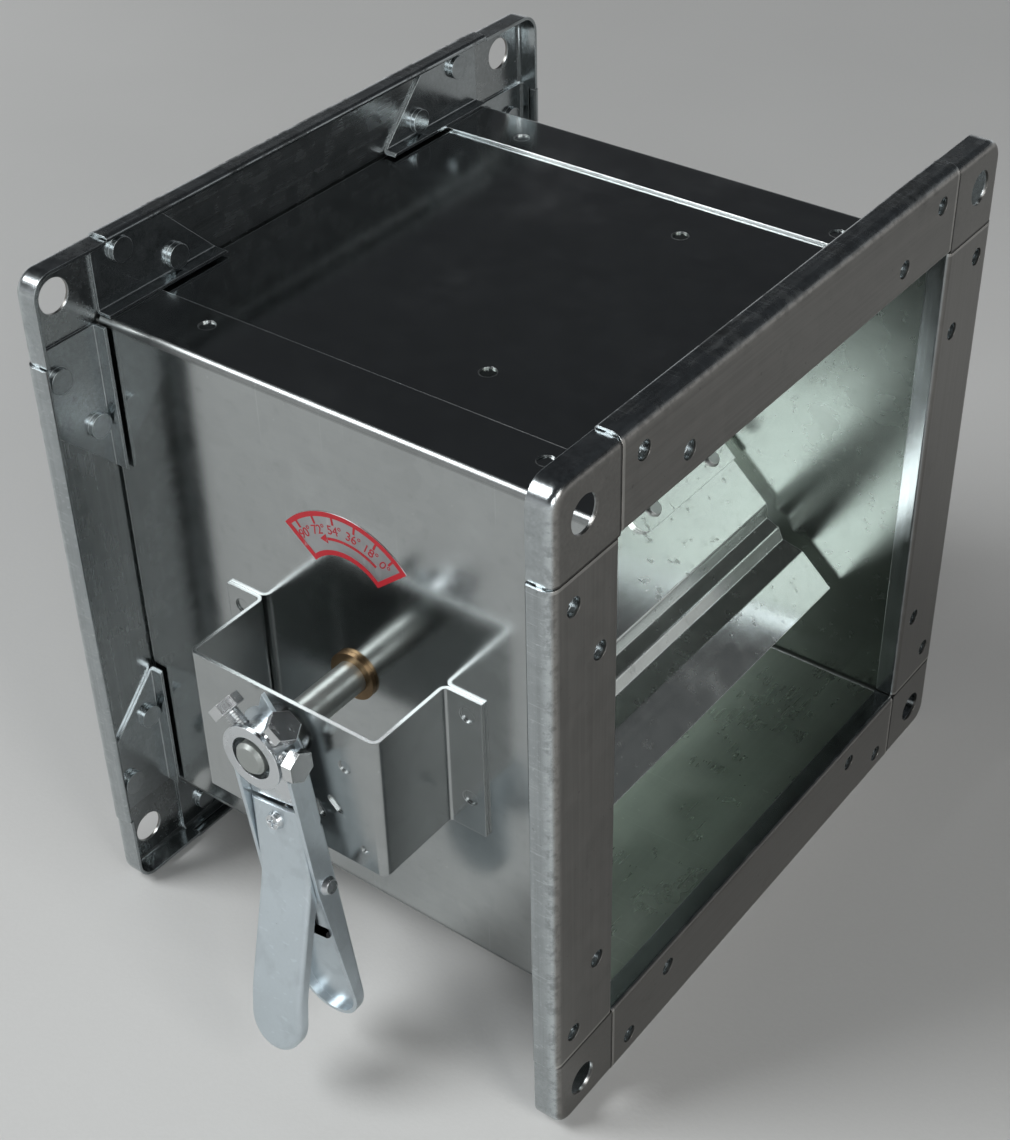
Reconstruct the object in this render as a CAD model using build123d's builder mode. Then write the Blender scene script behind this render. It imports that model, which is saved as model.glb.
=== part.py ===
# Manual volume control damper: a square flanged duct section with one tilting
# blade, a shaft along Y and a locking squeeze handle on the near side (-Y).
# The origin is the centre of the front flange's face, +X along the duct and out
# of the front, +Z up.
from build123d import *
from math import atan2, cos, radians, sin, tan
import os

# Duct opening and flange frames
OPENING = 200.0            # clear square opening between the bars' inner legs
LENGTH = 208.0             # from flange face to flange face
FLANGE_WIDTH = 33.0        # opening's edge to the outer edge
FRAME_SHEET = 1.2
LIP_DEPTH = 9.5            # outer lip, behind the flange's face
LIP_BEND = 4.0             # outside radius of the lip's bend
HEM_WIDTH = 3.4            # lip's edge folded back on itself
INNER_LEG_DEPTH = 8.0      # leg that goes into the duct
BOLT_INSET = 15.5          # bolt holes, from the flange's outer edges
BOLT_HOLE = 12.5

# Corner pieces, under the ends of the bars
CORNER_RADIUS = 8.0
CORNER_BEND = 3.0
ARM_REACH = 88.0           # end of an arm's inner leg, from the flange's outer edge
ARM_LEG_DEPTH = 6.0
SEAM_OVERLAP = 1.2         # corner's face onto its own arms
SEAM_GAP = 0.5             # from a bar's end to the corner's face

# Pressed joints between sheets, two on each flange arm
ARM_CLINCHES = ((44.0, 10.5), (68.0, 23.5))  # from the flange's outer edges
CLINCH_PIT = 6.6
CLINCH_WALL = 0.45
CLINCH_BUTTON = 9.0
CLINCH_HEIGHT = 2.0
PIT_FLOOR = 0.8

# Casing panels
CASING_SHEET = 1.0
CASING_BEND = 2.5          # outside radius
SEAM_WIDTH = 25.0          # side panel's return strip over the top and bottom
SEAM_CLINCH_END = 36.0     # from the flanges' faces
SEAM_CLINCH_INSET = 16.5   # from the casing's side
PANEL_PIT = 6.0
PANEL_PIT_DEPTH = 0.6
FIT_GAP = 0.1              # between sheets that are slid together
REST_GAP = 0.3             # between a moving piece and its stop

# Blade, shaft and bushes
BLADE_TILT = 42.2          # front edge down, at rest
BLADE_EDGE_GAP = 8.0       # front and rear edges, inside half the opening
BLADE_SIDE_GAP = 3.0       # side edges, to the opening's sides
BLADE_SHEET = 1.0
GROOVE_START = 50.0
GROOVE_VALLEYS = (54.5, 65.5)
GROOVE_RIDGE = 60.5
GROOVE_END = 73.5
GROOVE_DEPTH = 4.7
RIDGE_DEPTH = 2.5
GROOVE_BEND = 1.2
SHAFT = 12.0
SHAFT_PROUD = 1.5          # beyond the hub's disc
SHAFT_FAR_REACH = 6.8      # beyond the far wall
SHAFT_CHAMFER = 1.2
RUNNING_GAP = 0.05
BUSH_BARREL = 15.0
BUSH_FLANGE = 18.4
BUSH_FLANGE_SHEET = 1.6
BUSH_INSIDE = 2.4          # barrel's reach inside the casing wall
CLAMP_SHEET = 1.5
CLAMP_HALF_WIDTH = 28.0
CLAMP_LENGTH = 65.0        # inward from the blade's side edge
CLAMP_CORNER = 6.0
RIVET_REACH = 22.0         # blade rivets, from the shaft across the blade
RIVET_INSETS = (52.0, 11.0)  # blade rivets, from the blade's side edge
BLADE_RIVET = 4.0
BLADE_RIVET_HEAD = 7.0
BLADE_RIVET_HEIGHT = 1.4
CLIP_SHEET = 1.0
CLIP_DIAMETER = 19.0
CLIP_GROOVE = 10.8

# Blade stops
STOP_DEPTH = 15.0
STOP_FOOT = 24.0
STOP_END_GAP = 5.0         # from the opening's sides
STOP_SHEET = 1.0
STOP_BEND = 2.0
STOP_CLINCH_X = 15.9       # from the stop's face
STOP_CLINCH_END = 40.0     # from the stop's ends

# Handle bracket
BRACKET_HALF_WIDTH = 40.0
BRACKET_FOOT_END = 55.0
BRACKET_DEPTH = 35.8
BRACKET_TOP = 15.0
BRACKET_BOTTOM = -43.0
BRACKET_SHEET = 1.5
BRACKET_BEND = 3.0
FACE_PITS = ((26.1, -1.1, 2.6), (31.7, -34.5, 1.6))  # across, up, radius
FACE_PIT_DEPTH = 0.6
FOOT_CLINCH_X = 48.8
FOOT_CLINCH_Z = (7.5, -28.5)
DETENT_RADIUS = 29.0
DETENT_LENGTH = 7.5
DETENT_WIDTH = 3.2
DETENT_DEPTH = 0.8
DETENT_STEP = 18.0
DETENT_COUNT = 6

# Handle: hub and clamp bolts
HANDLE_SWING = 9.0         # lower end towards the front, at rest
HUB_SLEEVE = 19.5
HUB_BORE = 16.0
HUB_DISC = 24.0
HUB_DISC_SHEET = 1.5
HUB_DISC_GAP = 9.0         # from the lever's web to the disc
HUB_FOOT_END = -21.2       # foot of the hub, down the lever's channel
HUB_FOOT_HEIGHT = 4.6      # over the lever's web
BOLT_SHANK = 6.0
BOLT_HEAD_FLATS = 10.0
BOLT_HEAD_HEIGHT = 4.0
BOLT_HEAD_CHAMFER = 0.6
BOLT_POINT = 1.0           # length of the tapered point
BOLTS = ((141.0, 16.0), (54.0, 16.0), (4.0, 13.2))  # angle from +X, head's underside

# Handle: inner lever, a channel open away from the bracket
LEVER_GAP = 3.2            # from the bracket's face
LEVER_SHEET = 1.5
LEVER_HALF_WIDTH = 13.0
LEVER_WALL_TOP = -7.5
LEVER_WALL_DEPTH = 9.5
LEVER_TAPER_START = -55.0
LEVER_TIP_DEPTH = 4.2
LEVER_TIP = -117.0
LEVER_BEND = 1.8           # outside radius between web and walls
POINTER_BASE = 11.5
POINTER_TIP = 18.2
POINTER_HALF_WIDTH = 3.5
NOTCH_HEIGHT = -29.6
NOTCH_RADIUS = 1.6

# Handle: outer lever, nested in the inner one
GRIP_SIDE_GAP = 0.3
GRIP_SHEET = 1.5
GRIP_RISE = (              # web's height over the inner lever's rear: (z, height)
    (-22.0, 7.7),
    (-50.0, 11.4),
    (-90.0, 28.6),
    (-110.0, 34.2),
)
GRIP_BENDS = (40.0, 40.0)  # radii where the web bends
GRIP_FLANGE = 5.0
GRIP_TOP_HOLLOW = 0.7      # dip of its top edge
PIVOT_HEIGHT = -53.4
PIVOT_FORWARD = 4.8        # from the inner lever's rear
PIVOT_PIN = 4.0
PIVOT_HEAD = 7.0
PIVOT_HEAD_HEIGHT = 2.0
RIVET_TAPER = 25.0         # degrees, sides of rivet heads
LOCK_TAPER = 20.0
PIVOT_EAR = 3.0
GRIP_EDGE = 2.0            # outside radius along the web's sides
LOCK_HEIGHT = -27.7
LOCK_PIN = 4.0
LOCK_HOLE = 6.6            # in the inner lever's web, free of the pin's swing
LOCK_HEAD = 6.8
LOCK_HEAD_HEIGHT = 2.0
LOCK_RECESS = (4.4, 1.0, 1.0)  # cross recess: length, width, depth
SPRING_WIRE = 1.0
SPRING_INSIDE = 4.4
SPRING_TURNS = 5
SPRING_REACH = 30.0        # leg on the inner web, below the pivot
SPRING_GRIP_LEG = -70.0    # height where the other leg meets the outer web

# Dial label on the casing
DIAL_CENTRE = (0.5, 31.5)
DIAL_OUTER = 33.0
DIAL_INNER = 17.0
DIAL_HALF_ANGLE = 50.0
DIAL_SHEET = 0.2
DIAL_BORDER = 1.8
PRINT_SHEET = 0.1
TICK_ANGLES = (131.0, 115.5, 99.0, 81.5, 64.7, 50.6)
TICK_START = 28.5
TICK_WIDTH = 0.8
ARROW_RADIUS = 23.0
ARROW_ANGLES = (56.0, 108.0)
ARROW_WIDTH = 1.0
ARROW_HEAD = 2.0           # from the head's middle to its corners

# Values that follow from the sizes above
HALF = OPENING / 2
OUTER = HALF + FLANGE_WIDTH
SHAFT_X = -LENGTH / 2
WALL_IN = HALF + FRAME_SHEET
WALL_OUT = WALL_IN + CASING_SHEET
SEAM_OUT = WALL_OUT + CASING_SHEET
CASING_FRONT = -2 * FRAME_SHEET
CASING_REAR = -LENGTH + 2 * FRAME_SHEET
LEG_IN = SEAM_OUT + FIT_GAP
CORNER_OUT = OUTER - FRAME_SHEET
BOLT_AT = OUTER - BOLT_INSET
ARM_END = OUTER - ARM_REACH
CLINCH_PLACES = [(OUTER - along, OUTER - inset) for along, inset in ARM_CLINCHES]
SEAM_CLINCH_X = LENGTH / 2 - SEAM_CLINCH_END
BLADE_HALF_CHORD = HALF - BLADE_EDGE_GAP
BLADE_HALF_WIDTH = HALF - BLADE_SIDE_GAP
CLAMP_START = BLADE_HALF_WIDTH - CLAMP_LENGTH
RIVET_ROWS = [BLADE_HALF_WIDTH - inset for inset in RIVET_INSETS]
STOP_HALF_LENGTH = HALF - STOP_END_GAP
STOP_CLINCH_Y = STOP_HALF_LENGTH - STOP_CLINCH_END
BLADE_UNDER = SHAFT / 2 + RUNNING_GAP
BLADE_TOP = BLADE_UNDER + BLADE_SHEET
BRACKET_FACE = WALL_OUT + BRACKET_DEPTH
LEVER_REAR = BRACKET_FACE + LEVER_GAP
WEB_FRONT = LEVER_REAR + LEVER_SHEET
DISC_BACK = WEB_FRONT + HUB_DISC_GAP
DISC_FRONT = DISC_BACK + HUB_DISC_SHEET
SHAFT_NEAR_END = DISC_FRONT + SHAFT_PROUD
SHAFT_FAR_END = WALL_OUT + SHAFT_FAR_REACH
BOLT_Y = WEB_FRONT + BOLT_HEAD_FLATS / 2 + REST_GAP
GRIP_TOP = GRIP_RISE[0][0]
GRIP_TIP = GRIP_RISE[-1][0]
GRIP_HALF_WIDTH = LEVER_HALF_WIDTH - LEVER_SHEET - GRIP_SIDE_GAP
PIVOT_Y = -(LEVER_REAR + PIVOT_FORWARD)
GRIP_SLOPE = atan2(GRIP_RISE[1][1] - GRIP_RISE[0][1], GRIP_RISE[0][0] - GRIP_RISE[1][0])
GRIP_DROP = atan2(GRIP_RISE[2][1] - GRIP_RISE[1][1], GRIP_RISE[1][0] - GRIP_RISE[2][0])
LOCK_RISE = GRIP_RISE[0][1] + (GRIP_TOP - LOCK_HEIGHT) * tan(GRIP_SLOPE)
ARROW_LEAD = 2 * ARROW_HEAD / 3

os.makedirs("parts", exist_ok=True)


def near_plane(forward, turn=0.0):
    """Plane square to the shaft, forward of the centre line towards -Y, x and z turned by turn."""
    along = (cos(radians(turn)), 0, sin(radians(turn)))
    return Plane(origin=(SHAFT_X, -forward, 0), x_dir=along, z_dir=(0, -1, 0))


def lever_side_plane(across=0.0):
    """Plane along the handle and the shaft: x is world Y, y is the handle's own height."""
    along = (cos(radians(HANDLE_SWING)), 0, sin(radians(HANDLE_SWING)))
    origin = (SHAFT_X + across * along[0], 0, across * along[2])
    return Plane(origin=origin, x_dir=(0, 1, 0), z_dir=along)


def save(part, name):
    """Label a finished piece and write it as a STEP file."""
    part.label = name
    export_step(part, f"parts/{name}.step")


def turned_to_rear(part):
    """The same piece turned half round the upright through the casing's middle."""
    return part.rotate(Axis((SHAFT_X, 0, 0), (0, 0, 1)), 180)


# Flange bars: one rolled section, used eight times
with BuildPart() as flange_bar:
    with BuildSketch(Plane.XZ):
        with BuildLine():
            FilletPolyline(
                (-INNER_LEG_DEPTH, HALF + FRAME_SHEET / 2),
                (-FRAME_SHEET / 2, HALF + FRAME_SHEET / 2),
                (-FRAME_SHEET / 2, OUTER - FRAME_SHEET / 2),
                (-LIP_DEPTH + FRAME_SHEET, OUTER - FRAME_SHEET / 2),
                radius=[FRAME_SHEET, LIP_BEND - FRAME_SHEET / 2],
            )
        trace(line_width=FRAME_SHEET)
        with Locations((-LIP_DEPTH + HEM_WIDTH / 2, OUTER - FRAME_SHEET)):
            SlotOverall(HEM_WIDTH, 2 * FRAME_SHEET)
    extrude(amount=HALF - SEAM_GAP, both=True)
    pits = [(side * along, up) for side in (-1, 1) for along, up in CLINCH_PLACES]
    with BuildSketch(Plane.YZ.offset(-FRAME_SHEET)):
        with Locations(*pits):
            Circle(CLINCH_PIT / 2 + CLINCH_WALL)
    extrude(amount=-CLINCH_HEIGHT)
    with BuildSketch(Plane.YZ):
        with Locations(*pits):
            Circle(CLINCH_PIT / 2)
    extrude(amount=-(FRAME_SHEET + CLINCH_HEIGHT - CLINCH_WALL), mode=Mode.SUBTRACT)

front_sides = ("top", "near", "bottom", "far")
rear_sides = ("top", "far", "bottom", "near")
for quarter in range(4):
    front_bar = flange_bar.part.rotate(Axis.X, 90 * quarter)
    save(front_bar, f"front_{front_sides[quarter]}_bar")
    save(turned_to_rear(front_bar), f"rear_{rear_sides[quarter]}_bar")


def corner_block(reach, radius, front, bend):
    """Block behind the corner's face, its outer upright edge and front edges rounded."""
    with BuildPart() as block:
        with BuildSketch(Plane.YZ.offset(-front)):
            with Locations((HALF, HALF)):
                Rectangle(reach - HALF, reach - HALF, align=(Align.MIN, Align.MIN))
            fillet(vertices().group_by(Axis.X)[-1].sort_by(Axis.Y)[-1], radius)
        extrude(amount=-(LIP_DEPTH - front))
        rim = faces().sort_by(Axis.X)[-1].edges()
        fillet(rim.filter_by(lambda e: min(e.center().Y, e.center().Z) > HALF + bend), bend)
    return block.part


# Corner pieces: a pressed L with a lip, two arms under the bars and inner legs
with BuildPart() as corner_piece:
    add(corner_block(CORNER_OUT, CORNER_RADIUS, 0, CORNER_BEND))
    add(
        corner_block(
            CORNER_OUT - FRAME_SHEET,
            CORNER_RADIUS - FRAME_SHEET,
            FRAME_SHEET,
            CORNER_BEND - FRAME_SHEET,
        ),
        mode=Mode.SUBTRACT,
    )
    arm_start = HALF + SEAM_OVERLAP
    arm_face = -FRAME_SHEET - FRAME_SHEET / 2
    with BuildSketch(Plane(origin=(0, arm_start, 0), x_dir=(1, 0, 0), z_dir=(0, -1, 0))):
        with BuildLine():
            FilletPolyline(
                (-FRAME_SHEET - ARM_LEG_DEPTH, LEG_IN + FRAME_SHEET / 2),
                (arm_face, LEG_IN + FRAME_SHEET / 2),
                (arm_face, CORNER_OUT - FRAME_SHEET / 2),
                (-LIP_DEPTH + HEM_WIDTH + FIT_GAP, CORNER_OUT - FRAME_SHEET / 2),
                radius=[FRAME_SHEET, LIP_BEND + arm_face],
            )
        trace(line_width=FRAME_SHEET)
    extrude(amount=arm_start - ARM_END)
    with BuildSketch(Plane.YZ):
        with BuildLine():
            Polyline(
                (ARM_END, LEG_IN),
                (ARM_END + OUTER - LEG_IN, OUTER),
                (ARM_END, OUTER),
                close=True,
            )
        make_face()
    extrude(amount=-LIP_DEPTH, mode=Mode.SUBTRACT)
    with BuildSketch(Plane.YZ.offset(-2 * FRAME_SHEET)):
        with Locations(*CLINCH_PLACES):
            Circle(CLINCH_BUTTON / 2)
    extrude(amount=-CLINCH_HEIGHT)
    with BuildSketch(Plane.YZ.offset(-FRAME_SHEET)):
        with Locations(*CLINCH_PLACES):
            Circle(CLINCH_PIT / 2 + CLINCH_WALL + RUNNING_GAP)
    extrude(amount=-CLINCH_HEIGHT - RUNNING_GAP, mode=Mode.SUBTRACT)
    split(bisect_by=Plane(origin=(0, 0, 0), z_dir=(0, -1, 1)))
    mirror(about=Plane(origin=(0, 0, 0), z_dir=(0, -1, 1)))
    with BuildSketch(Plane.YZ):
        with Locations((BOLT_AT, BOLT_AT)):
            Circle(BOLT_HOLE / 2)
    extrude(amount=-LIP_DEPTH, mode=Mode.SUBTRACT)

front_corners = ("far_top", "near_top", "near_bottom", "far_bottom")
rear_corners = ("near_top", "far_top", "far_bottom", "near_bottom")
for quarter in range(4):
    front_corner = corner_piece.part.rotate(Axis.X, 90 * quarter)
    save(front_corner, f"front_{front_corners[quarter]}_corner")
    save(turned_to_rear(front_corner), f"rear_{rear_corners[quarter]}_corner")


def seam_clinches():
    """Centres, seen from above, of the clinches through a return strip on the near side."""
    return [(SHAFT_X + side * SEAM_CLINCH_X, -WALL_OUT + SEAM_CLINCH_INSET) for side in (-1, 1)]


foot_clinches = [(side * FOOT_CLINCH_X, z) for side in (-1, 1) for z in FOOT_CLINCH_Z]

# Casing sides: folded sheets whose strips lie over the top and bottom panels
with BuildPart() as casing_side:
    with BuildSketch(Plane.YZ.offset(CASING_FRONT)):
        with BuildLine():
            FilletPolyline(
                (-WALL_OUT + SEAM_WIDTH, SEAM_OUT - CASING_SHEET / 2),
                (-WALL_OUT + CASING_SHEET / 2, SEAM_OUT - CASING_SHEET / 2),
                (-WALL_OUT + CASING_SHEET / 2, -SEAM_OUT + CASING_SHEET / 2),
                (-WALL_OUT + SEAM_WIDTH, -SEAM_OUT + CASING_SHEET / 2),
                radius=CASING_BEND - CASING_SHEET / 2,
            )
        trace(line_width=CASING_SHEET)
    extrude(amount=CASING_REAR - CASING_FRONT)
    with BuildSketch(near_plane(WALL_OUT)):
        Circle(BUSH_BARREL / 2)
    extrude(amount=-CASING_SHEET, mode=Mode.SUBTRACT)
    for face_z, inward in ((SEAM_OUT, -1), (-SEAM_OUT, 1)):
        with BuildSketch(Plane.XY.offset(face_z)):
            with Locations(*seam_clinches()):
                Circle(PANEL_PIT / 2)
        extrude(amount=inward * PANEL_PIT_DEPTH, mode=Mode.SUBTRACT)

with BuildPart() as casing_near_side:
    add(casing_side.part)
    with BuildSketch(near_plane(WALL_IN)):
        with Locations(*foot_clinches):
            Circle(CLINCH_BUTTON / 2)
    extrude(amount=-PANEL_PIT_DEPTH)
save(casing_near_side.part, "casing_near_side")
save(turned_to_rear(casing_side.part), "casing_far_side")

# Top and bottom panels, between the side panels' bends
PANEL_HALF_WIDTH = WALL_OUT - CASING_BEND
TOP_STOP_FACE = SHAFT_X + BLADE_TOP + REST_GAP
BOTTOM_STOP_FACE = SHAFT_X + BLADE_UNDER - REST_GAP


def casing_panel(face_z, inward, stop_x):
    """Flat panel with the pits of the two clinches that hold a blade stop."""
    with BuildPart() as panel:
        with BuildSketch(Plane.XY.offset(face_z)):
            with Locations((SHAFT_X, 0)):
                Rectangle(CASING_FRONT - CASING_REAR, 2 * PANEL_HALF_WIDTH)
        extrude(amount=inward * CASING_SHEET)
        with BuildSketch(Plane.XY.offset(face_z)):
            with Locations(*[(stop_x, side * STOP_CLINCH_Y) for side in (-1, 1)]):
                Circle(PANEL_PIT / 2)
        extrude(amount=inward * PANEL_PIT_DEPTH, mode=Mode.SUBTRACT)
    return panel.part


save(casing_panel(WALL_OUT, -1, TOP_STOP_FACE + STOP_CLINCH_X), "casing_top")
save(casing_panel(-WALL_OUT, 1, BOTTOM_STOP_FACE - STOP_CLINCH_X), "casing_bottom")


def blade_stop(face_x, away, up):
    """Angle inside the casing: foot on a panel, leg in the closed blade's way."""
    with BuildPart() as stop:
        with BuildSketch(Plane.XZ.offset(-STOP_HALF_LENGTH)):
            with BuildLine():
                FilletPolyline(
                    (face_x + away * STOP_SHEET / 2, up * (WALL_IN - STOP_DEPTH)),
                    (face_x + away * STOP_SHEET / 2, up * (WALL_IN - STOP_SHEET / 2)),
                    (face_x + away * STOP_FOOT, up * (WALL_IN - STOP_SHEET / 2)),
                    radius=STOP_BEND,
                )
            trace(line_width=STOP_SHEET)
        extrude(amount=2 * STOP_HALF_LENGTH)
    return stop.part


save(blade_stop(TOP_STOP_FACE, 1, 1), "top_blade_stop")
save(blade_stop(BOTTOM_STOP_FACE, -1, -1), "bottom_blade_stop")

# Shaft, with a groove at the far end for its clip
bush_face = WALL_OUT + BUSH_FLANGE_SHEET
with BuildPart() as shaft:
    with BuildSketch(near_plane(SHAFT_NEAR_END)):
        Circle(SHAFT / 2)
    extrude(amount=-(SHAFT_NEAR_END + SHAFT_FAR_END))
    chamfer(edges().filter_by(GeomType.CIRCLE), SHAFT_CHAMFER)
    with BuildSketch(near_plane(-bush_face - REST_GAP)):
        Circle(SHAFT / 2)
        Circle(CLIP_GROOVE / 2, mode=Mode.SUBTRACT)
    extrude(amount=-CLIP_SHEET - RUNNING_GAP, mode=Mode.SUBTRACT)
save(shaft.part, "shaft")

with BuildPart() as shaft_clip:
    with BuildSketch(near_plane(-bush_face - REST_GAP)):
        Circle(CLIP_DIAMETER / 2)
        Circle(CLIP_GROOVE / 2 + RUNNING_GAP, mode=Mode.SUBTRACT)
        with Locations((0, -CLIP_DIAMETER / 2)):
            Rectangle(CLIP_GROOVE, CLIP_DIAMETER, mode=Mode.SUBTRACT)
    extrude(amount=-CLIP_SHEET)
save(shaft_clip.part, "shaft_clip")

# Flanged bushes in the casing sides
with BuildPart() as near_bush:
    with BuildSketch(near_plane(WALL_OUT)):
        Circle(BUSH_FLANGE / 2)
        Circle(SHAFT / 2 + RUNNING_GAP, mode=Mode.SUBTRACT)
    extrude(amount=BUSH_FLANGE_SHEET)
    with BuildSketch(near_plane(WALL_OUT)):
        Circle(BUSH_BARREL / 2)
        Circle(SHAFT / 2 + RUNNING_GAP, mode=Mode.SUBTRACT)
    extrude(amount=-CASING_SHEET - BUSH_INSIDE)
save(near_bush.part, "near_bush")
save(turned_to_rear(near_bush.part), "far_bush")


def blade_plane(forward):
    """Plane square to the shaft: x along the blade to its front edge, y off the blade's top."""
    along = (cos(radians(BLADE_TILT)), 0, -sin(radians(BLADE_TILT)))
    return Plane(origin=(SHAFT_X, -forward, 0), x_dir=along, z_dir=(0, -1, 0))


def blade_face_plane(height):
    """Plane on the blade: x along the blade to its front edge, y along the shaft to the far side."""
    tilt = radians(BLADE_TILT)
    normal = (sin(tilt), 0, cos(tilt))
    origin = (SHAFT_X + height * normal[0], 0, height * normal[2])
    return Plane(origin=origin, x_dir=(cos(tilt), 0, -sin(tilt)), z_dir=normal)


# Blade: one sheet on the shaft, with a double groove along each half
blade_middle = BLADE_UNDER + BLADE_SHEET / 2
half_section = [
    (GROOVE_START, blade_middle),
    (GROOVE_VALLEYS[0], blade_middle - GROOVE_DEPTH),
    (GROOVE_RIDGE, blade_middle - RIDGE_DEPTH),
    (GROOVE_VALLEYS[1], blade_middle - GROOVE_DEPTH),
    (GROOVE_END, blade_middle),
    (BLADE_HALF_CHORD, blade_middle),
]
with BuildPart() as blade:
    with BuildSketch(blade_plane(BLADE_HALF_WIDTH)):
        with BuildLine():
            mirrored_half = [(-along, height) for along, height in reversed(half_section)]
            FilletPolyline(*mirrored_half, *half_section, radius=GROOVE_BEND)
        trace(line_width=BLADE_SHEET)
    extrude(amount=-2 * BLADE_HALF_WIDTH)
    rivet_places = [
        (across * RIVET_REACH, end * row)
        for across in (-1, 1)
        for end in (-1, 1)
        for row in RIVET_ROWS
    ]
    with BuildSketch(blade_face_plane(BLADE_UNDER - CLAMP_SHEET)):
        with Locations(*rivet_places):
            Circle(BLADE_RIVET / 2 + RUNNING_GAP)
    extrude(amount=BLADE_SHEET + 2 * CLAMP_SHEET, mode=Mode.SUBTRACT)
save(blade.part, "blade")


near_rivets = [(across * RIVET_REACH, -row) for across in (-1, 1) for row in RIVET_ROWS]

# Backing plates on the blade's top, at both ends of the shaft
with BuildPart() as near_backing_plate:
    with BuildSketch(blade_face_plane(BLADE_TOP)):
        with Locations((0, -CLAMP_START)):
            Rectangle(2 * CLAMP_HALF_WIDTH, CLAMP_LENGTH, align=(Align.CENTER, Align.MAX))
        fillet(vertices().group_by(Axis.Y)[-1], CLAMP_CORNER)
        with Locations(*near_rivets):
            Circle(BLADE_RIVET / 2 + RUNNING_GAP, mode=Mode.SUBTRACT)
    extrude(amount=CLAMP_SHEET)
save(near_backing_plate.part, "near_backing_plate")
save(near_backing_plate.part.mirror(Plane.XZ), "far_backing_plate")

# Shaft clamps under the blade: a hat section that holds the shaft to the sheet
clamp_bore = SHAFT / 2 + RUNNING_GAP
with BuildPart() as near_shaft_clamp:
    with BuildSketch(blade_plane(BLADE_HALF_WIDTH)):
        Circle(clamp_bore + CLAMP_SHEET)
        with Locations((0, BLADE_UNDER)):
            Rectangle(
                2 * CLAMP_HALF_WIDTH,
                2 * CLAMP_HALF_WIDTH,
                align=(Align.CENTER, Align.MIN),
                mode=Mode.SUBTRACT,
            )
            Rectangle(2 * CLAMP_HALF_WIDTH, CLAMP_SHEET, align=(Align.CENTER, Align.MAX))
            Rectangle(
                2 * (clamp_bore + CLAMP_SHEET), BLADE_UNDER, align=(Align.CENTER, Align.MAX)
            )
        Circle(clamp_bore, mode=Mode.SUBTRACT)
        with Locations((0, BLADE_UNDER)):
            Rectangle(2 * clamp_bore, BLADE_UNDER, align=(Align.CENTER, Align.MAX), mode=Mode.SUBTRACT)
    extrude(amount=-CLAMP_LENGTH)
    with BuildSketch(blade_face_plane(BLADE_UNDER)):
        with Locations(*near_rivets):
            Circle(BLADE_RIVET / 2 + RUNNING_GAP)
    extrude(amount=-CLAMP_SHEET, mode=Mode.SUBTRACT)
save(near_shaft_clamp.part, "near_shaft_clamp")
save(near_shaft_clamp.part.mirror(Plane.XZ), "far_shaft_clamp")

# Rivets through the clamps, the blade and the backing plates
rivet_grip = 2 * CLAMP_SHEET + BLADE_SHEET
with BuildPart() as blade_rivets:
    with BuildSketch(blade_face_plane(BLADE_UNDER - CLAMP_SHEET)):
        with Locations(*rivet_places):
            Circle(BLADE_RIVET / 2)
    extrude(amount=rivet_grip)
    for height, outward in ((BLADE_UNDER - CLAMP_SHEET, -1), (BLADE_TOP + CLAMP_SHEET, 1)):
        with BuildSketch(blade_face_plane(height)):
            with Locations(*rivet_places):
                Circle(BLADE_RIVET_HEAD / 2)
        extrude(amount=outward * BLADE_RIVET_HEIGHT, taper=RIVET_TAPER)
save(blade_rivets.part, "blade_rivets")

# Handle bracket: a hat section on the near side, open above and below
with BuildPart() as handle_bracket:
    foot_line = -(WALL_OUT + BRACKET_SHEET / 2)
    face_line = -(BRACKET_FACE - BRACKET_SHEET / 2)
    side_line = BRACKET_HALF_WIDTH - BRACKET_SHEET / 2
    with BuildSketch(Plane.XY.offset(BRACKET_BOTTOM)):
        with BuildLine():
            FilletPolyline(
                (SHAFT_X - BRACKET_FOOT_END, foot_line),
                (SHAFT_X - side_line, foot_line),
                (SHAFT_X - side_line, face_line),
                (SHAFT_X + side_line, face_line),
                (SHAFT_X + side_line, foot_line),
                (SHAFT_X + BRACKET_FOOT_END, foot_line),
                radius=BRACKET_BEND - BRACKET_SHEET / 2,
            )
        trace(line_width=BRACKET_SHEET)
    extrude(amount=BRACKET_TOP - BRACKET_BOTTOM)
    with BuildSketch(near_plane(BRACKET_FACE)):
        Circle(SHAFT / 2 + REST_GAP)
    extrude(amount=-BRACKET_SHEET, mode=Mode.SUBTRACT)
    for index in range(DETENT_COUNT):
        swing = DETENT_STEP * (index - (DETENT_COUNT - 1) / 2)
        with BuildSketch(near_plane(BRACKET_FACE, swing)):
            with Locations(Location((0, -DETENT_RADIUS), 90)):
                SlotOverall(DETENT_LENGTH, DETENT_WIDTH)
        extrude(amount=-DETENT_DEPTH, mode=Mode.SUBTRACT)
    with BuildSketch(near_plane(BRACKET_FACE)):
        for across, up, radius in FACE_PITS:
            with Locations((across, up)):
                Circle(radius)
    extrude(amount=-FACE_PIT_DEPTH, mode=Mode.SUBTRACT)
    with BuildSketch(near_plane(WALL_OUT + BRACKET_SHEET)):
        with Locations(*foot_clinches):
            Circle(PANEL_PIT / 2)
    extrude(amount=-PIT_FLOOR, mode=Mode.SUBTRACT)
save(handle_bracket.part, "handle_bracket")

# Dial label: a ring sector on the casing, with its printed border, ticks and arrow
dial_middle = Location((DIAL_CENTRE[0], DIAL_CENTRE[1]))


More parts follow.
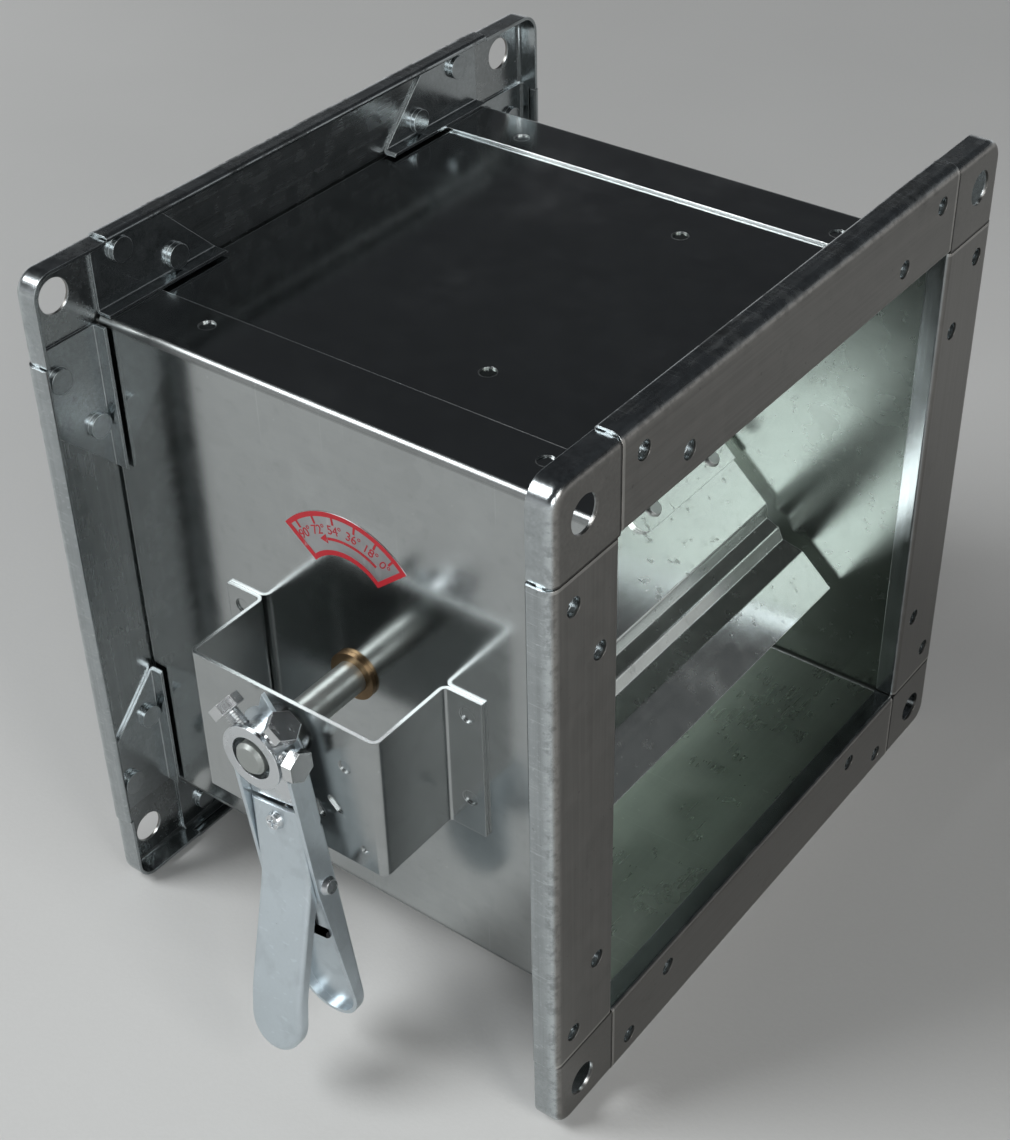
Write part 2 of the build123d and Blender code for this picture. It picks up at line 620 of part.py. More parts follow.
def sector(outer, inner, half_angle):
    """Ring sector about the dial's centre, symmetric about the upright."""
    with BuildSketch(Plane.XY) as ring:
        with Locations(dial_middle):
            Circle(outer)
            Circle(inner, mode=Mode.SUBTRACT)
        reach = 2 * outer
        side = (reach * sin(radians(half_angle)), reach * cos(radians(half_angle)))
        with BuildLine():
            Polyline(
                DIAL_CENTRE,
                (DIAL_CENTRE[0] + side[0], DIAL_CENTRE[1] + side[1]),
                (DIAL_CENTRE[0], DIAL_CENTRE[1] + reach),
                (DIAL_CENTRE[0] - side[0], DIAL_CENTRE[1] + side[1]),
                close=True,
            )
        make_face(mode=Mode.INTERSECT)
    return ring.sketch


with BuildPart() as dial_label:
    with BuildSketch(near_plane(WALL_OUT)):
        add(sector(DIAL_OUTER, DIAL_INNER, DIAL_HALF_ANGLE))
    extrude(amount=DIAL_SHEET)
save(dial_label.part, "dial_label")

with BuildPart() as dial_print:
    with BuildSketch(near_plane(WALL_OUT + DIAL_SHEET)):
        add(sector(DIAL_OUTER, DIAL_INNER, DIAL_HALF_ANGLE))
        window = sector(DIAL_OUTER, DIAL_INNER, DIAL_HALF_ANGLE)
        offset(window, amount=-DIAL_BORDER, mode=Mode.SUBTRACT)
        for angle in TICK_ANGLES:
            with Locations(dial_middle * Location((0, 0), angle)):
                with Locations((TICK_START, 0)):
                    Rectangle(
                        DIAL_OUTER - DIAL_BORDER / 2 - TICK_START,
                        TICK_WIDTH,
                        align=(Align.MIN, Align.CENTER),
                    )
    extrude(amount=PRINT_SHEET)
    with BuildSketch(near_plane(WALL_OUT + DIAL_SHEET)):
        with BuildLine():
            CenterArc(DIAL_CENTRE, ARROW_RADIUS, ARROW_ANGLES[0], ARROW_ANGLES[1] - ARROW_ANGLES[0])
        trace(line_width=ARROW_WIDTH)
        with Locations(dial_middle * Location((0, 0), ARROW_ANGLES[1])):
            with Locations(Location((ARROW_RADIUS, ARROW_LEAD), 90)):
                RegularPolygon(ARROW_HEAD, 3)
    extrude(amount=PRINT_SHEET)
save(dial_print.part, "dial_print")

# Hub: a flanged sleeve round the shaft's end, fixed in the inner lever
with BuildPart() as hub_sleeve:
    with BuildSketch(near_plane(LEVER_REAR)):
        Circle(HUB_SLEEVE / 2)
    extrude(amount=DISC_BACK - LEVER_REAR)
    with BuildSketch(near_plane(DISC_BACK)):
        Circle(HUB_DISC / 2)
    extrude(amount=HUB_DISC_SHEET)
    with BuildSketch(near_plane(WEB_FRONT, HANDLE_SWING)):
        Rectangle(2 * GRIP_HALF_WIDTH, -HUB_FOOT_END, align=(Align.CENTER, Align.MAX))
    extrude(amount=HUB_FOOT_HEIGHT)
    with BuildSketch(near_plane(LEVER_REAR)):
        Circle(HUB_BORE / 2)
    extrude(amount=DISC_FRONT - LEVER_REAR, mode=Mode.SUBTRACT)
    for angle, _ in BOLTS:
        direction = (cos(radians(angle)), 0, sin(radians(angle)))
        with BuildSketch(Plane(origin=(SHAFT_X, -BOLT_Y, 0), x_dir=(0, 1, 0), z_dir=direction)):
            Circle(BOLT_SHANK / 2)
        extrude(amount=HUB_SLEEVE, mode=Mode.SUBTRACT)
save(hub_sleeve.part, "hub_sleeve")


def clamp_bolt(angle, underside):
    """Hex bolt through the sleeve, its point on the shaft."""
    direction = (cos(radians(angle)), 0, sin(radians(angle)))
    axis_plane = Plane(origin=(SHAFT_X, -BOLT_Y, 0), x_dir=(0, 1, 0), z_dir=direction)
    axis_line = Axis((SHAFT_X, -BOLT_Y, 0), direction)
    head_plane = axis_plane.offset(underside)
    with BuildPart() as bolt:
        with BuildSketch(head_plane):
            Circle(BOLT_HEAD_FLATS / 2)
        extrude(amount=BOLT_HEAD_HEIGHT)
        with BuildSketch(head_plane):
            RegularPolygon(BOLT_HEAD_FLATS / 2, 6, major_radius=False, rotation=30)
        extrude(amount=BOLT_HEAD_HEIGHT - BOLT_HEAD_CHAMFER)
        point = SHAFT / 2 + RUNNING_GAP
        with BuildSketch(axis_plane.offset(underside)):
            Circle(BOLT_SHANK / 2 - RUNNING_GAP)
        extrude(amount=point - underside)
        chamfer(edges().filter_by(GeomType.CIRCLE).sort_by(axis_line)[0], BOLT_POINT)
    return bolt.part


with BuildPart() as clamp_bolts:
    for angle, underside in BOLTS:
        add(clamp_bolt(angle, underside))
save(clamp_bolts.part, "clamp_bolts")


def lever_outline(half_width, top, tip):
    """Front outline of a lever: square at the top, half round at the tip."""
    with BuildSketch(Plane.XY) as outline:
        with BuildLine():
            Polyline(
                (-half_width, tip + half_width),
                (-half_width, top),
                (half_width, top),
                (half_width, tip + half_width),
            )
            CenterArc((0, tip + half_width), half_width, 180, 180)
        make_face()
    return outline.sketch


# Inner lever: a channel with a round top, a pointer and walls that taper to the tip
with BuildPart() as inner_lever:
    with BuildSketch(near_plane(LEVER_REAR, HANDLE_SWING)):
        add(lever_outline(LEVER_HALF_WIDTH, 0, LEVER_TIP))
        Circle(LEVER_HALF_WIDTH)
        with BuildLine():
            Polyline(
                (-POINTER_HALF_WIDTH, POINTER_BASE),
                (0, POINTER_TIP),
                (POINTER_HALF_WIDTH, POINTER_BASE),
                close=True,
            )
        make_face()
    extrude(amount=LEVER_WALL_DEPTH)
    rear_rim = faces().sort_by(Axis.Y)[-1].edges()
    fillet(rear_rim.filter_by(lambda e: e.center().Z < 0), LEVER_BEND)
    inner_width = LEVER_HALF_WIDTH - LEVER_SHEET
    wide = 4 * LEVER_HALF_WIDTH
    with BuildSketch(near_plane(WEB_FRONT, HANDLE_SWING)):
        add(lever_outline(inner_width, POINTER_TIP, LEVER_TIP + LEVER_SHEET))
        with Locations((0, LEVER_WALL_TOP)):
            Rectangle(wide, wide, align=(Align.CENTER, Align.MIN))
    extrude(amount=LEVER_WALL_DEPTH, mode=Mode.SUBTRACT)
    with BuildSketch(lever_side_plane(-LEVER_HALF_WIDTH)):
        with BuildLine():
            Polyline(
                (-LEVER_REAR - LEVER_WALL_DEPTH, LEVER_TAPER_START),
                (-LEVER_REAR - LEVER_TIP_DEPTH, LEVER_TIP),
                (-LEVER_REAR - LEVER_WALL_DEPTH, LEVER_TIP),
                close=True,
            )
        make_face()
        with Locations((-LEVER_REAR, NOTCH_HEIGHT)):
            Circle(NOTCH_RADIUS)
        with Locations((PIVOT_Y, PIVOT_HEIGHT)):
            Circle(PIVOT_PIN / 2 + RUNNING_GAP)
    extrude(amount=2 * LEVER_HALF_WIDTH, mode=Mode.SUBTRACT)
    with BuildSketch(near_plane(LEVER_REAR, HANDLE_SWING)):
        Circle(HUB_SLEEVE / 2 + RUNNING_GAP)
        with Locations((0, LOCK_HEIGHT - (LOCK_RISE - LEVER_SHEET / 2) * tan(GRIP_SLOPE))):
            Circle(LOCK_HOLE / 2)
    extrude(amount=LEVER_SHEET, mode=Mode.SUBTRACT)
save(inner_lever.part, "inner_lever")


def grip_band(front, back):
    """Side view of the outer lever between two distances behind its web's front."""
    with BuildSketch(Plane.XY) as band:
        with BuildLine():
            front_line = FilletPolyline(
                *[(-LEVER_REAR - height + front, z) for z, height in GRIP_RISE],
                radius=list(GRIP_BENDS),
            )
            back_line = FilletPolyline(
                *[(-LEVER_REAR - height + back, z) for z, height in GRIP_RISE],
                radius=list(GRIP_BENDS),
            )
            Line(front_line @ 0, back_line @ 0)
            Line(front_line @ 1, back_line @ 1)
        make_face()
    return band.sketch


def grip_solid(half_width, tip, front, back):
    """Outer lever's band across its width, cut to its front outline."""
    with BuildPart() as solid:
        with BuildSketch(lever_side_plane(-half_width)):
            add(grip_band(front, back))
        extrude(amount=2 * half_width)
        with BuildSketch(near_plane(0, HANDLE_SWING)):
            add(lever_outline(half_width, GRIP_TOP, tip))
        extrude(amount=2 * LEVER_REAR, mode=Mode.INTERSECT)
    return solid.part


swing = radians(HANDLE_SWING)
lock_plane = Plane(
    origin=lever_side_plane().from_local_coords((-LEVER_REAR - LOCK_RISE, LOCK_HEIGHT, 0)),
    x_dir=lever_side_plane().z_dir,
    z_dir=(-sin(GRIP_SLOPE) * sin(swing), -cos(GRIP_SLOPE), sin(GRIP_SLOPE) * cos(swing)),
)

# Outer lever: a bent channel, open towards the inner one, with ears on the pivot
with BuildPart() as outer_lever:
    add(grip_solid(GRIP_HALF_WIDTH, GRIP_TIP, 0, GRIP_FLANGE))
    web_edges = faces().filter_by(lambda f: f.normal_at().Y < -cos(radians(60))).edges()
    rim = web_edges.filter_by(lambda e: sum(e.is_same(other) for other in web_edges) == 1)
    fillet(rim.sort_by(Axis.Z)[:-1], GRIP_EDGE)
    with BuildSketch(lever_side_plane(-GRIP_HALF_WIDTH)):
        with Locations((PIVOT_Y, PIVOT_HEIGHT)):
            Circle(PIVOT_EAR)
            Rectangle(2 * PIVOT_EAR, 2 * PIVOT_EAR, align=(Align.MAX, Align.CENTER))
    extrude(amount=2 * GRIP_HALF_WIDTH)
    channel_width = GRIP_HALF_WIDTH - GRIP_SHEET
    past_flanges = 3 * GRIP_FLANGE
    add(
        grip_solid(channel_width, GRIP_TIP + GRIP_SHEET, GRIP_SHEET, past_flanges),
        mode=Mode.SUBTRACT,
    )
    with BuildSketch(lever_side_plane(-GRIP_HALF_WIDTH)):
        with Locations((PIVOT_Y, PIVOT_HEIGHT)):
            Circle(PIVOT_PIN / 2 + RUNNING_GAP)
    extrude(amount=2 * GRIP_HALF_WIDTH, mode=Mode.SUBTRACT)
    hollow_radius = (GRIP_HALF_WIDTH**2 / GRIP_TOP_HOLLOW + GRIP_TOP_HOLLOW) / 2
    with BuildSketch(near_plane(LEVER_REAR, HANDLE_SWING)):
        with Locations((0, GRIP_TOP - GRIP_TOP_HOLLOW + hollow_radius)):
            Circle(hollow_radius)
    extrude(amount=GRIP_RISE[1][1], mode=Mode.SUBTRACT)
    with BuildSketch(lock_plane):
        Circle(LOCK_PIN / 2 + RUNNING_GAP)
    extrude(amount=-2 * GRIP_SHEET, mode=Mode.SUBTRACT)
save(outer_lever.part, "outer_lever")

# Lock pin: a screw through the outer lever whose point reaches for the bracket's face
with BuildPart() as lock_pin:
    with BuildSketch(lock_plane):
        Circle(LOCK_HEAD / 2)
    extrude(amount=LOCK_HEAD_HEIGHT, taper=LOCK_TAPER)
    recess_length, recess_width, recess_depth = LOCK_RECESS
    with BuildSketch(lock_plane.offset(LOCK_HEAD_HEIGHT)):
        Rectangle(recess_length, recess_width)
        Rectangle(recess_width, recess_length)
    extrude(amount=-recess_depth, mode=Mode.SUBTRACT)
    with BuildSketch(lock_plane):
        Circle(LOCK_PIN / 2)
    lean = LOCK_PIN / 2 * sin(GRIP_SLOPE)
    extrude(amount=-(LEVER_GAP + LOCK_RISE - REST_GAP - lean) / cos(GRIP_SLOPE))
save(lock_pin.part, "lock_pin")

# Pivot rivet across both levers
with BuildPart() as pivot_rivet:
    with BuildSketch(lever_side_plane(-LEVER_HALF_WIDTH)):
        with Locations((PIVOT_Y, PIVOT_HEIGHT)):
            Circle(PIVOT_PIN / 2)
    extrude(amount=2 * LEVER_HALF_WIDTH)
    for side in (-1, 1):
        with BuildSketch(lever_side_plane(side * LEVER_HALF_WIDTH)):
            with Locations((PIVOT_Y, PIVOT_HEIGHT)):
                Circle(PIVOT_HEAD / 2)
        extrude(amount=side * PIVOT_HEAD_HEIGHT, taper=RIVET_TAPER)
save(pivot_rivet.part, "pivot_rivet")


def lever_point(across, forward, height):
    """Point of the handle: across it, forward of the centre line, up its own height."""
    plane = lever_side_plane(across)
    return plane.from_local_coords((-forward, height, 0))


def wire(start, end):
    """Straight round wire between two points."""
    with BuildPart() as rod:
        with BuildSketch(Plane(origin=start, z_dir=end - start)):
            Circle(SPRING_WIRE / 2)
        extrude(amount=(end - start).length)
    return rod.part


# Grip spring: a torsion coil round the rivet, one leg on each lever's web
coil_radius = (SPRING_INSIDE + SPRING_WIRE) / 2
coil_end = SPRING_TURNS * SPRING_WIRE / 2
leg_side = coil_end - SPRING_WIRE / 2 - FIT_GAP
leg_top = PIVOT_HEIGHT - SPRING_WIRE
grip_leg_rise = GRIP_RISE[1][1] + (GRIP_RISE[1][0] - SPRING_GRIP_LEG) * tan(GRIP_DROP)
grip_leg_back = (GRIP_SHEET + SPRING_WIRE / 2 + REST_GAP) / cos(GRIP_DROP)
with BuildPart() as grip_spring:
    with BuildSketch(lever_side_plane(-coil_end)):
        with Locations((PIVOT_Y, PIVOT_HEIGHT)):
            Circle(SPRING_INSIDE / 2 + SPRING_WIRE)
            Circle(SPRING_INSIDE / 2, mode=Mode.SUBTRACT)
    extrude(amount=2 * coil_end)
    rest_leg = WEB_FRONT + SPRING_WIRE / 2 + FIT_GAP
    add(
        wire(
            lever_point(-leg_side, rest_leg, leg_top),
            lever_point(-leg_side, rest_leg, PIVOT_HEIGHT - SPRING_REACH),
        )
    )
    add(
        wire(
            lever_point(leg_side, coil_radius - PIVOT_Y, leg_top),
            lever_point(leg_side, LEVER_REAR + grip_leg_rise - grip_leg_back, SPRING_GRIP_LEG),
        )
    )
save(grip_spring.part, "grip_spring")
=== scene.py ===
from math import cos, pi, radians, sin

import bpy
from bpy.props import FloatProperty, FloatVectorProperty, IntProperty, PointerProperty
from mathutils import Matrix, Vector


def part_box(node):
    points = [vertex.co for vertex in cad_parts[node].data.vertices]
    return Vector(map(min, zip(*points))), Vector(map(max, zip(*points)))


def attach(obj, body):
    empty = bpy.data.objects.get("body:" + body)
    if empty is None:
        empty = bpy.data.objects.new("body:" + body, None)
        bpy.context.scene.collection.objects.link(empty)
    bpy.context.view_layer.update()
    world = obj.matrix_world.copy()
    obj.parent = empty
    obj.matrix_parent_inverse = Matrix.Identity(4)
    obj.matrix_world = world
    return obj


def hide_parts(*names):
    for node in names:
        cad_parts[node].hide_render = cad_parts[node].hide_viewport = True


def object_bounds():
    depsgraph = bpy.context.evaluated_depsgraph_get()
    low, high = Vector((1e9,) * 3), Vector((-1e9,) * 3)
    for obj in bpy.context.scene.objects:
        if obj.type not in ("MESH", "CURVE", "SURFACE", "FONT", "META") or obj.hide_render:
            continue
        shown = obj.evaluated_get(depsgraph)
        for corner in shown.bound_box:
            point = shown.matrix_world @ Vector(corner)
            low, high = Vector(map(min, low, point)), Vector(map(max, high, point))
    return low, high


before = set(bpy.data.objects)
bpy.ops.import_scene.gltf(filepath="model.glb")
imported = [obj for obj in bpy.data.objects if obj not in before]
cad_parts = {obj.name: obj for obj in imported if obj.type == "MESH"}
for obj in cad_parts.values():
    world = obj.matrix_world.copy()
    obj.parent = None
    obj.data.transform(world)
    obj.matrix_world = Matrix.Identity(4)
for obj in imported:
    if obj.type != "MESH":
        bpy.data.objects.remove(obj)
CAD_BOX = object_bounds()

bl_info = {
    "name": "Manual volume control damper",
    "version": (1, 0, 0),
    "blender": (4, 5, 0),
    "location": "3D View > Sidebar > Damper",
    "description": "Finishes, fasteners and dial figures for the packed damper",
    "category": "Object",
}

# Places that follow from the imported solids
SHAFT_X = (CAD_BOX[0].x + CAD_BOX[1].x) / 2
HALF_LENGTH = (CAD_BOX[1].x - CAD_BOX[0].x) / 2
FLANGE_HALF = CAD_BOX[1].y
FLOOR_Z = CAD_BOX[0].z
LEVER_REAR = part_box("inner_lever")[1].y
LABEL_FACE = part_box("dial_label")[0].y
BAR_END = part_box("front_top_bar")[1].y

# Half of the duct's opening, where the corner pieces meet the bars
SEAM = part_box("casing_top")[1].z - 0.0022

# Casing, from the duct's middle line: middle of the side panels' sheet, just
# below the strips' outer face, and the strips' inner edge
WALL_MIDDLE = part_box("casing_near_side")[0].y * -1 - 0.0005
ROOF_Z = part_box("casing_near_side")[1].z - 0.0003
STRIP_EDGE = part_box("casing_near_side")[1].y * -1

# Top edge of the handle's bracket
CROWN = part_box("handle_bracket")[1].z

# Handle: its own axes at rest, and where its small parts sit
HANDLE_SWING = radians(9.0)
ACROSS = Vector((cos(HANDLE_SWING), 0.0, sin(HANDLE_SWING)))
FORWARD = Vector((0.0, -1.0, 0.0))
UPWARD = Vector((-sin(HANDLE_SWING), 0.0, cos(HANDLE_SWING)))
PIVOT_HEIGHT = -0.0534
PIVOT_FORWARD = 0.0048
WEB_SHEET = 0.0015
SHAFT_RADIUS = 0.006

# Clamp bolts: each one's angle from +X and its head's underside, from the shaft
BOLT_FORWARD = 0.0068
BOLTS = ((141.0, 0.0160), (54.0, 0.0160), (4.0, 0.0132))
CHAMFER_INSET = 0.09
CHAMFER_DROP = 0.11
THREAD_DEPTH = 0.55
POINT_TAPER = 0.62

# Grip spring: how far its legs reach down, and the outer leg's foot from the
# far corner of the CAD spring's box
INNER_LEG_REACH = 0.030
OUTER_LEG_REACH = 0.0175
FOOT_SIDE = 0.0009
FOOT_BACK = 0.0007

# Black bar across the inner lever's channel
STOP_BAR = 0.003
STOP_REACH = 0.0113
STOP_FORWARD = 0.0079
STOP_HEIGHT = -0.0735

# Dial: the circle that the label's arcs share, and its figures
DIAL_CENTRE = Vector((SHAFT_X + 0.0005, 0.0, 0.0315))
DIAL_FIGURES = (
    ("90°", 129.0),
    ("72°", 114.0),
    ("54°", 98.5),
    ("36°", 81.5),
    ("18°", 65.5),
    ("0°", 51.5),
)
FIGURE_RADIUS = 0.0262
FIGURE_THICKNESS = 0.00004
CAPITAL_HEIGHT = 0.7

# Stage: name, place, width, power and colour of each soft box, and the room's
# colours from the horizon up
FLOOR_SIZE = 12.0
LAMPS = (
    ("key_light", (-1.25, -1.15, 1.65), 1.1, 40.0, (0.97, 0.99, 1.0)),
    ("fill_light", (1.75, -0.55, 1.25), 0.9, 16.0, (1.0, 0.99, 0.97)),
    ("window_light", (0.80, -1.08, 0.66), 0.5, 5.5, (0.97, 0.99, 1.0)),
)
HORIZON = (0.72, 0.73, 0.74, 1.0)
OVERHEAD = (0.035, 0.037, 0.04, 1.0)


class DamperSteel(bpy.types.PropertyGroup):
    """Zinc-coated sheet of the casing, the flanges and the blade."""

    casing: FloatVectorProperty(
        name="Casing",
        description="Colour of the casing's sheet",
        subtype="COLOR",
        default=(0.43, 0.45, 0.45),
        min=0.0,
        max=1.0,
    )
    # Painted shade: the walls' and roof's inner faces take this darker colour in place of the
    # duct's dim inside
    inside: FloatVectorProperty(
        name="Inside",
        description="Colour of the casing's inner faces",
        subtype="COLOR",
        default=(0.20, 0.225, 0.21),
        min=0.0,
        max=1.0,
    )
    # Painted light: the bottom panel's inner face takes this brighter colour in place of the light
    # it catches and reflects
    bottom: FloatVectorProperty(
        name="Bottom",
        description="Colour of the bottom panel's inner face",
        subtype="COLOR",
        default=(0.50, 0.55, 0.495),
        min=0.0,
        max=1.0,
    )
    # Painted reflection: the flat faces take a darker colour than the lips, standing in for the
    # dark surroundings they mirror
    flange: FloatVectorProperty(
        name="Flange faces",
        description="Colour of the flange frames' flat faces",
        subtype="COLOR",
        default=(0.205, 0.20, 0.19),
        min=0.0,
        max=1.0,
    )
    lip: FloatVectorProperty(
        name="Flange lips",
        description="Colour of the flange frames' lips, legs and arms",
        subtype="COLOR",
        default=(0.40, 0.43, 0.44),
        min=0.0,
        max=1.0,
    )
    blade: FloatVectorProperty(
        name="Blade",
        description="Colour of the blade, its plates and its stops",
        subtype="COLOR",
        default=(0.74, 0.78, 0.76),
        min=0.0,
        max=1.0,
    )
    spangle: FloatProperty(
        name="Spangle",
        description="Width of a zinc crystal",
        subtype="DISTANCE",
        unit="LENGTH",
        default=0.007,
        min=0.001,
    )
    edge: FloatProperty(
        name="Edge rounding",
        description="Radius over which a cut edge catches the light",
        subtype="DISTANCE",
        unit="LENGTH",
        default=0.0004,
        min=0.0001,
    )


class DamperHandle(bpy.types.PropertyGroup):
    """Handle, its bolts and its spring."""

    zinc: FloatVectorProperty(
        name="Levers",
        description="Colour of the zinc-plated levers",
        subtype="COLOR",
        default=(0.60, 0.67, 0.71),
        min=0.0,
        max=1.0,
    )
    bolt_flats: FloatProperty(
        name="Bolt head",
        description="Bolt head's width across its flats",
        subtype="DISTANCE",
        unit="LENGTH",
        default=0.010,
        min=0.004,
    )
    bolt_head: FloatProperty(
        name="Bolt head height",
        description="Height of a bolt's head",
        subtype="DISTANCE",
        unit="LENGTH",
        default=0.004,
        min=0.001,
    )
    bolt_thread: FloatProperty(
        name="Thread",
        description="Outside diameter of the bolts' thread",
        subtype="DISTANCE",
        unit="LENGTH",
        default=0.0058,
        min=0.002,
    )
    thread_pitch: FloatProperty(
        name="Thread pitch",
        description="Distance from one turn of the thread to the next",
        subtype="DISTANCE",
        unit="LENGTH",
        default=0.001,
        min=0.0003,
    )
    spring_wire: FloatProperty(
        name="Spring wire",
        description="Diameter of the grip spring's wire",
        subtype="DISTANCE",
        unit="LENGTH",
        default=0.001,
        min=0.0003,
    )
    spring_coil: FloatProperty(
        name="Spring coil",
        description="Radius of the coil's middle line",
        subtype="DISTANCE",
        unit="LENGTH",
        default=0.0027,
        min=0.001,
    )
    spring_turns: IntProperty(
        name="Spring turns",
        description="Turns of the grip spring's coil",
        default=4,
        min=1,
    )


class DamperDial(bpy.types.PropertyGroup):
    """Dial label."""

    film: FloatVectorProperty(
        name="Film",
        description="Colour of the label's silver film",
        subtype="COLOR",
        default=(0.47, 0.48, 0.49),
        min=0.0,
        max=1.0,
    )
    ink: FloatVectorProperty(
        name="Ink",
        description="Colour of the printed border, arrow and figures",
        subtype="COLOR",
        default=(0.42, 0.008, 0.018),
        min=0.0,
        max=1.0,
    )
    figure: FloatProperty(
        name="Figure height",
        description="Height of the dial's figures",
        subtype="DISTANCE",
        unit="LENGTH",
        default=0.0034,
        min=0.001,
    )


class DamperStage(bpy.types.PropertyGroup):
    """Floor, light and camera."""

    floor: FloatVectorProperty(
        name="Floor",
        description="Colour of the floor",
        subtype="COLOR",
        default=(0.62, 0.62, 0.61),
        min=0.0,
        max=1.0,
    )
    lens: FloatProperty(
        name="Lens",
        description="Camera's focal length on a 36 mm high sensor",
        subtype="DISTANCE_CAMERA",
        default=62.55,
        min=10.0,
    )
    eye: FloatVectorProperty(
        name="Eye",
        description="Camera's place",
        subtype="TRANSLATION",
        unit="LENGTH",
        default=(0.247389, -0.471281, 0.426205),
    )
    turn: FloatVectorProperty(
        name="Turn",
        description="Camera's rotation",
        subtype="EULER",
        default=(radians(52.8346), radians(1.18641), radians(36.9505)),
    )


class Wire:
    """Value on a node's socket, which takes part in arithmetic."""

    def __init__(self, finish, socket):
        self.finish = finish
        self.socket = socket

    def math(self, operation, *values):
        inputs = dict(enumerate(values))
        return self.finish.node("ShaderNodeMath", {"operation": operation}, inputs)["Value"]

    def __add__(self, other):
        return self.math("ADD", self, other)

    def __sub__(self, other):
        return self.math("SUBTRACT", self, other)

    def __rsub__(self, other):
        return self.math("SUBTRACT", other, self)

    def __mul__(self, other):
        return self.math("MULTIPLY", self, other)

    __radd__ = __add__
    __rmul__ = __mul__

    def size(self):
        return self.math("ABSOLUTE", self)

    def most(self, other):
        return self.math("MAXIMUM", self, other)

    def least(self, other):
        return self.math("MINIMUM", self, other)


class Finish:
    """Material that is written as arithmetic on its nodes' sockets."""

    def __init__(self, name):
        self.material = bpy.data.materials.new(name)
        self.material.use_nodes = True
        self.tree = self.material.node_tree
        self.tree.nodes.clear()
        self.place = self.node("ShaderNodeTexCoord")["Object"]

    def node(self, kind, settings=None, inputs=None):
        """Add a node: its settings first, then its sockets' values or links."""
        made = self.tree.nodes.new(kind)
        for name, value in (settings or {}).items():
            setattr(made, name, value)
        for key, value in (inputs or {}).items():
            if isinstance(value, Wire):
                self.tree.links.new(value.socket, made.inputs[key])
            else:
                made.inputs[key].default_value = value
        return {output.identifier: Wire(self, output) for output in made.outputs}

    def parts(self):
        """X, Y and Z of the object's coordinates."""
        return self.node("ShaderNodeSeparateXYZ", None, {"Vector": self.place})

    def stretched(self, scale):
        """Object's coordinates, scaled along each axis."""
        inputs = {"Vector": self.place, "Scale": scale}
        return self.node("ShaderNodeMapping", None, inputs)["Vector"]

    def noise(self, scale, detail=2.0, stretch=(1.0, 1.0, 1.0), rough=0.5):
        """Cloudy value from 0 to 1."""
        inputs = {
            "Vector": self.stretched(stretch),
            "Scale": scale,
            "Detail": detail,
            "Roughness": rough,
        }
        return self.node("ShaderNodeTexNoise", None, inputs)["Fac"]

    def crystals(self, width):
        """One soft-edged random value for each zinc crystal."""
        drift = self.node("ShaderNodeTexNoise", None, {"Vector": self.place, "Scale": 0.7 / width})
        shifted = self.node(
            "ShaderNodeVectorMath",
            {"operation": "MULTIPLY_ADD"},
            {0: drift["Color"], 1: (width, width, width), 2: self.place},
        )["Vector"]
        cells = self.node(
            "ShaderNodeTexVoronoi",
            {"feature": "SMOOTH_F1"},
            {"Vector": shifted, "Scale": 1.0 / width, "Smoothness": 0.35},
        )["Color"]
        return self.node("ShaderNodeSeparateColor", None, {"Color": cells})["Red"]

    def ramp(self, value, low, high):
        """Value that goes smoothly from 0 to 1 between low and high."""
        return self.node(
            "ShaderNodeMapRange",
            {"interpolation_type": "SMOOTHSTEP"},
            {"Value": value, "From Min": low, "From Max": high},
        )["Result"]

    def mix(self, share, first, second):
        """Colour that goes from first to second as share goes from 0 to 1."""
        inputs = {0: share, 6: first, 7: second}
        return self.node("ShaderNodeMix", {"data_type": "RGBA"}, inputs)["Result_Color"]

    def shade(self, colour, tone):
        """Colour made brighter or darker by a tone round 1."""
        inputs = {0: colour, "Scale": tone}
        return self.node("ShaderNodeVectorMath", {"operation": "SCALE"}, inputs)["Vector"]

    def soft_normal(self, radius):
        """Surface's normal with its edges rounded over a radius."""
        return self.node("ShaderNodeBevel", {"samples": 4}, {"Radius": radius})["Normal"]

    def edges(self, soft):
        """1 along edges, 0 elsewhere."""
        flat = self.node("ShaderNodeNewGeometry")["Normal"]
        inputs = {0: soft, 1: flat}
        match = self.node("ShaderNodeVectorMath", {"operation": "DOT_PRODUCT"}, inputs)["Value"]
        return self.ramp(1.0 - match, 0.01, 0.12)

    def relief(self, height, depth, soft):
        """Normal of a surface with relief on it, its edges rounded."""
        inputs = {"Height": height, "Distance": depth, "Normal": soft, "Strength": 1.0}
        return self.node("ShaderNodeBump", None, inputs)["Normal"]

    def close(self, colour, metallic, roughness, normal, **more):
        """Join the shader to the material's output."""
        inputs = {
            "Base Color": colour,
            "Metallic": metallic,
            "Roughness": roughness,
            "Normal": normal,
            **more,
        }
        surface = self.node("ShaderNodeBsdfPrincipled", None, inputs)["BSDF"]
        self.node("ShaderNodeOutputMaterial", None, {"Surface": surface})
        return self.material


def rgba(colour):
    return (*colour, 1.0)


def dress(material, *names):
    """Give CAD nodes a material in their own slots."""
    for name in names:
        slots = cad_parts[name].material_slots
        if not slots:
            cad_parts[name].data.materials.append(material)
        for slot in slots:
            slot.material = material


